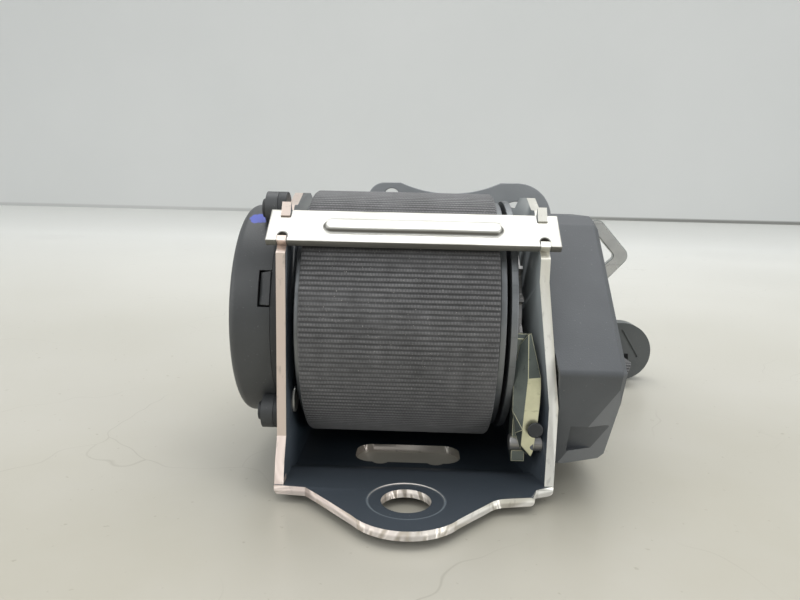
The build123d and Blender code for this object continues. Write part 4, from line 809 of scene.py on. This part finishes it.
# %% The webbing in the tongue
low, high = (np.array(c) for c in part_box("webbing_run"))
tongue_way = np.array((cos(radians(42)), sin(radians(42))))
run_along, run_across, run_middle = tilted(tongue_way, (low + high) / 2)
run_y = np.linspace(low[1], high[1], 24)
run_line = np.stack((np.full(24, run_middle[0]), run_y, np.full(24, run_middle[2])), axis=-1)
run_normal = np.broadcast_to(run_along, run_line.shape)
run_strap, run_length = strap("webbing_through_tongue", run_line, run_across, run_normal, body="tongue")
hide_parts("webbing_run")
print("run through the tongue", round(run_length * 1000, 1), "mm")

# %% [markdown]
# The tie bar is a strip of zinc-plated steel with a pressed bead. We draw it as a height over a
# flat grid: a shallow groove round the bead, a smooth rise over 0.9 mm of slope, and a level top.
# The grid is the outer face and leaves out the notches for the frame's prongs, beside which the
# strip is dented. Solidify gives it its thickness below. A second value, stored per point, is a
# painted shade: it darkens the zinc round the bead, along the bar's edges and in the dents.

# %% The tie bar
half_x, half_y = 0.0342, 0.00515
notch_x = (0.0294 - 0.00015, 0.0316 + 0.00015)
xs = np.unique(np.concatenate((
    np.linspace(-half_x, -notch_x[1], 14), np.linspace(-notch_x[1], -notch_x[0], 14),
    np.linspace(-notch_x[0], notch_x[0], 260), np.linspace(notch_x[0], notch_x[1], 14),
    np.linspace(notch_x[1], half_x, 14))).round(7))
notch_low, notch_high = -0.0036, half_y - 0.0026
ys = np.unique(np.concatenate((
    np.linspace(-half_y, notch_low, 8), np.linspace(notch_low, notch_high, 50),
    np.linspace(notch_high, half_y, 12))).round(7))
gx, gy = np.meshgrid(xs, ys, indexing="ij")
bead_half, bead_run = 0.00165, 0.0208 - 0.00165
bead_high, slope = 0.0008, 0.0009
beyond = np.hypot(np.maximum(np.abs(gx) - bead_run, 0), gy) - bead_half
rise = np.clip(0.5 - beyond / slope, 0, 1)
rise = bead_high * rise ** 2 * (3 - 2 * rise) - 0.00012 * np.exp(-((beyond - 0.0006) / 0.0003) ** 2)
# Painted shade: darker round the foot of the bead, along the bar's edges and in the dents by the prongs.
painted_shade = 0.85 * np.exp(-((beyond - 0.0001) / 0.00035) ** 2)
border = np.minimum(half_y - np.abs(gy), half_x - np.abs(gx))
dent = np.hypot((np.abs(gx) - (notch_x[0] + notch_x[1]) / 2) / 0.0014, (gy - notch_low) / 0.0016)
rise -= 0.0006 * np.clip(1.3 - 1.3 * dent, 0, 1)
painted_shade = np.maximum(painted_shade, np.maximum(0.7 * np.exp(-(border / 0.00025) ** 2), np.clip(5 - 5 * dent, 0, 1)))
wobble = 0.00004 * np.sin(gx * 210 + 0.7) * np.cos(gy * 330)
bar_thick = 0.0017
grid = (
    bar_low + bar_thick * bar_out + gx[..., None] * across_x
    + gy[..., None] * bar_along + (rise + wobble)[..., None] * bar_out
)
nx, ny = gx.shape
i, j = np.meshgrid(np.arange(nx - 1), np.arange(ny - 1), indexing="ij")
cell_x = np.abs((xs[:-1] + xs[1:]) / 2)[:, None]
cell_y = ((ys[:-1] + ys[1:]) / 2)[None, :]
in_notch = (cell_y < notch_low) | (cell_y > notch_high)
kept = ~((cell_x > notch_x[0]) & (cell_x < notch_x[1]) & in_notch)
quads = np.stack((i * ny + j, (i + 1) * ny + j, (i + 1) * ny + j + 1, i * ny + j + 1), axis=-1)[kept]
mesh = bpy.data.meshes.new("tie_bar_pressed")
mesh.from_pydata(grid.reshape(-1, 3).tolist(), [], quads.tolist())
mesh.attributes.new("painted_shade", "FLOAT", "POINT").data.foreach_set("value", painted_shade.ravel().astype(np.float32))
bm = bmesh.new()
bm.from_mesh(mesh)
bmesh.ops.delete(bm, geom=[v for v in bm.verts if not v.link_faces], context="VERTS")
tie_bar = finish_mesh("tie_bar_pressed", bm, zinc, "frame", smooth=38)
tie_bar.modifiers.clear()
plate = tie_bar.modifiers.new("thickness", "SOLIDIFY")
plate.thickness, plate.offset = bar_thick, -1.0
edge = tie_bar.modifiers.new("edges", "BEVEL")
edge.width, edge.segments, edge.limit_method, edge.angle_limit = 0.0003, 3, "ANGLE", radians(50)
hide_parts("tie_bar")
print("tie bar grid", nx, "x", ny)

# %% [markdown]
# The table is a pale, lacquered board with fine cracks and crumbs, and painted light makes it paler
# towards the back. The wall behind is plain paint, with painted shade along its foot where it meets
# the board. Both are stage, not object. The board has a thin gloss, so the retractor mirrors softly.

# %% Table and wall
def stage_plane(name, corners, material):
    """One flat four-cornered sheet."""
    mesh = bpy.data.meshes.new(name)
    mesh.from_pydata(corners, [], [(0, 1, 2, 3)])
    mesh.materials.append(material)
    made = bpy.data.objects.new(name, mesh)
    scene.collection.objects.link(made)


board, tree, shader = new_material("lacquered_board_pale", Coat_Weight=0.25, Coat_Roughness=0.18)
place = add(tree, "TexCoord").outputs["Object"]
clouds = {"Vector": place, "Scale": 7.0, "Detail": 6.0, "Roughness": 0.6}
clouds = add(tree, "TexNoise", clouds).outputs["Fac"]
clouds = add(tree, "MapRange", {0: clouds, 1: 0.35, 2: 0.68}).outputs[0]
base = add(
    tree, "Mix", {0: clouds, 6: linear("#ada897"), 7: linear("#b7b3a7")}, data_type="RGBA"
).outputs[2]
# Painted light: the board is paler towards the back.
painted_far_light = add(tree, "SeparateXYZ", {0: place}).outputs["Y"]
painted_far_light = add(tree, "MapRange", {0: painted_far_light, 1: -0.1, 2: 0.9}).outputs[0]
base = add(tree, "Mix", {0: painted_far_light, 6: base, 7: linear("#fcfcf6")}, data_type="RGBA").outputs[2]
bent = add(tree, "TexNoise", {"Vector": place, "Scale": 14.0, "Detail": 3.0}).outputs["Color"]
bent = add(tree, "Mix", {0: 0.06, 6: place, 7: bent}, data_type="RGBA").outputs[2]
cracks = add(tree, "TexVoronoi", {"Vector": bent, "Scale": 17.0}, feature="DISTANCE_TO_EDGE")
cracks = add(tree, "MapRange", {0: cracks.outputs["Distance"], 1: 0.005, 2: 0.0}).outputs[0]
patchy = add(tree, "TexNoise", {"Vector": place, "Scale": 11.0, "Detail": 2.0}).outputs["Fac"]
patchy = add(tree, "MapRange", {0: patchy, 1: 0.5, 2: 0.66, 4: 0.38}).outputs[0]
cracks = add(tree, "Math", {0: cracks, 1: patchy}, operation="MULTIPLY").outputs[0]
base = add(tree, "Mix", {0: cracks, 6: base, 7: linear("#8f897c")}, data_type="RGBA").outputs[2]
crumbs = add(tree, "TexNoise", {"Vector": place, "Scale": 420.0, "Detail": 2.0}).outputs["Fac"]
crumbs = add(tree, "MapRange", {0: crumbs, 1: 0.71, 2: 0.76, 4: 0.5}).outputs[0]
base = add(tree, "Mix", {0: crumbs, 6: base, 7: linear("#98917f")}, data_type="RGBA").outputs[2]
gloss = add(tree, "MapRange", {0: clouds, 3: 0.32, 4: 0.44}).outputs[0]
wire(tree, shader, Base_Color=base, Roughness=gloss)

plaster, tree, shader = new_material("painted_wall_pale_grey", Roughness=0.8)
place = add(tree, "TexCoord").outputs["Object"]
clouds = add(tree, "TexNoise", {"Vector": place, "Scale": 1.6, "Detail": 4.0}).outputs["Fac"]
base = add(
    tree, "Mix", {0: clouds, 6: linear("#d3d5d3"), 7: linear("#dedfdd")}, data_type="RGBA"
).outputs[2]
foot = add(tree, "SeparateXYZ", {0: place})
# Painted shade along the wall's foot where it meets the board, stronger to the right.
painted_corner_shade = add(tree, "MapRange", {0: foot.outputs["Z"], 1: 0.014, 2: 0.008}).outputs[0]
ramp_share = add(tree, "MapRange", {0: foot.outputs["X"], 1: -0.9, 2: 0.9, 3: 0.25, 4: 0.8}).outputs[0]
painted_corner_shade = add(tree, "Math", {0: painted_corner_shade, 1: ramp_share}, operation="MULTIPLY").outputs[0]
base = add(tree, "Mix", {0: painted_corner_shade, 6: base, 7: linear("#6f6f69")}, data_type="RGBA").outputs[2]
seen = add(tree, "LightPath").outputs["Is Camera Ray"]
glow = add(tree, "Math", {0: seen, 1: 0.09}, operation="MULTIPLY").outputs[0]
wire(tree, shader, Base_Color=base, Emission_Color=base, Emission_Strength=glow)
stage_plane("table", [(-4, -1.2, 0), (4, -1.2, 0), (4, 2.098, 0), (-4, 2.464, 0)], board)
stage_plane("wall", [(-4, 2.464, -0.02), (4, 2.098, -0.02), (4, 2.098, 3), (-4, 2.464, 3)], plaster)
print("table and wall are stage")

# %% [markdown]
# The light is that of a bright workshop: a pale sky from all sides, dimmer where the photographer
# stands, and one large soft lamp above and a little behind, which whitens the tie bar and the top
# of the roll. A weak one in front fills the shade, and two at the sides, further off, pick out the
# slanting faces of the covers.

# %% Light
world = bpy.data.worlds.new("workshop")
scene.world = world
world.use_nodes = True
tree = world.node_tree
sky = tree.nodes["Background"]
sky.inputs["Color"].default_value = linear("#f4f6f8")
way = add(tree, "TexCoord").outputs["Object"]
way = add(tree, "SeparateXYZ", {0: way}).outputs["Y"]
shaded = add(tree, "MapRange", {0: way, 1: -1.0, 2: -0.3, 3: 0.6, 4: 0.95}).outputs[0]
tree.links.new(shaded, sky.inputs["Strength"])


def soft_lamp(name, place, aim, size, power):
    """Square area lamp at place, turned to aim."""
    data = bpy.data.lights.new(name, "AREA")
    data.shape, data.size, data.energy = "SQUARE", size, power
    lamp = bpy.data.objects.new(name, data)
    lamp.location = place
    lamp.rotation_euler = (Vector(aim) - Vector(place)).to_track_quat("-Z", "Y").to_euler()
    lamp.visible_camera = False
    scene.collection.objects.link(lamp)


soft_lamp("lamp_above", (0.1, 0.25, 0.95), (0.0, 0.05, 0.0), 0.9, 5.4)
soft_lamp("lamp_front", (-0.5, -0.9, 0.7), (0.0, 0.04, 0.03), 0.7, 2.0)
soft_lamp("lamp_right", (1.5, -1.0, 0.55), (0.05, 0.0, 0.02), 0.6, 8.5)
soft_lamp("lamp_left", (-1.6, -0.45, 0.5), (-0.04, 0.02, 0.03), 0.6, 3.4)
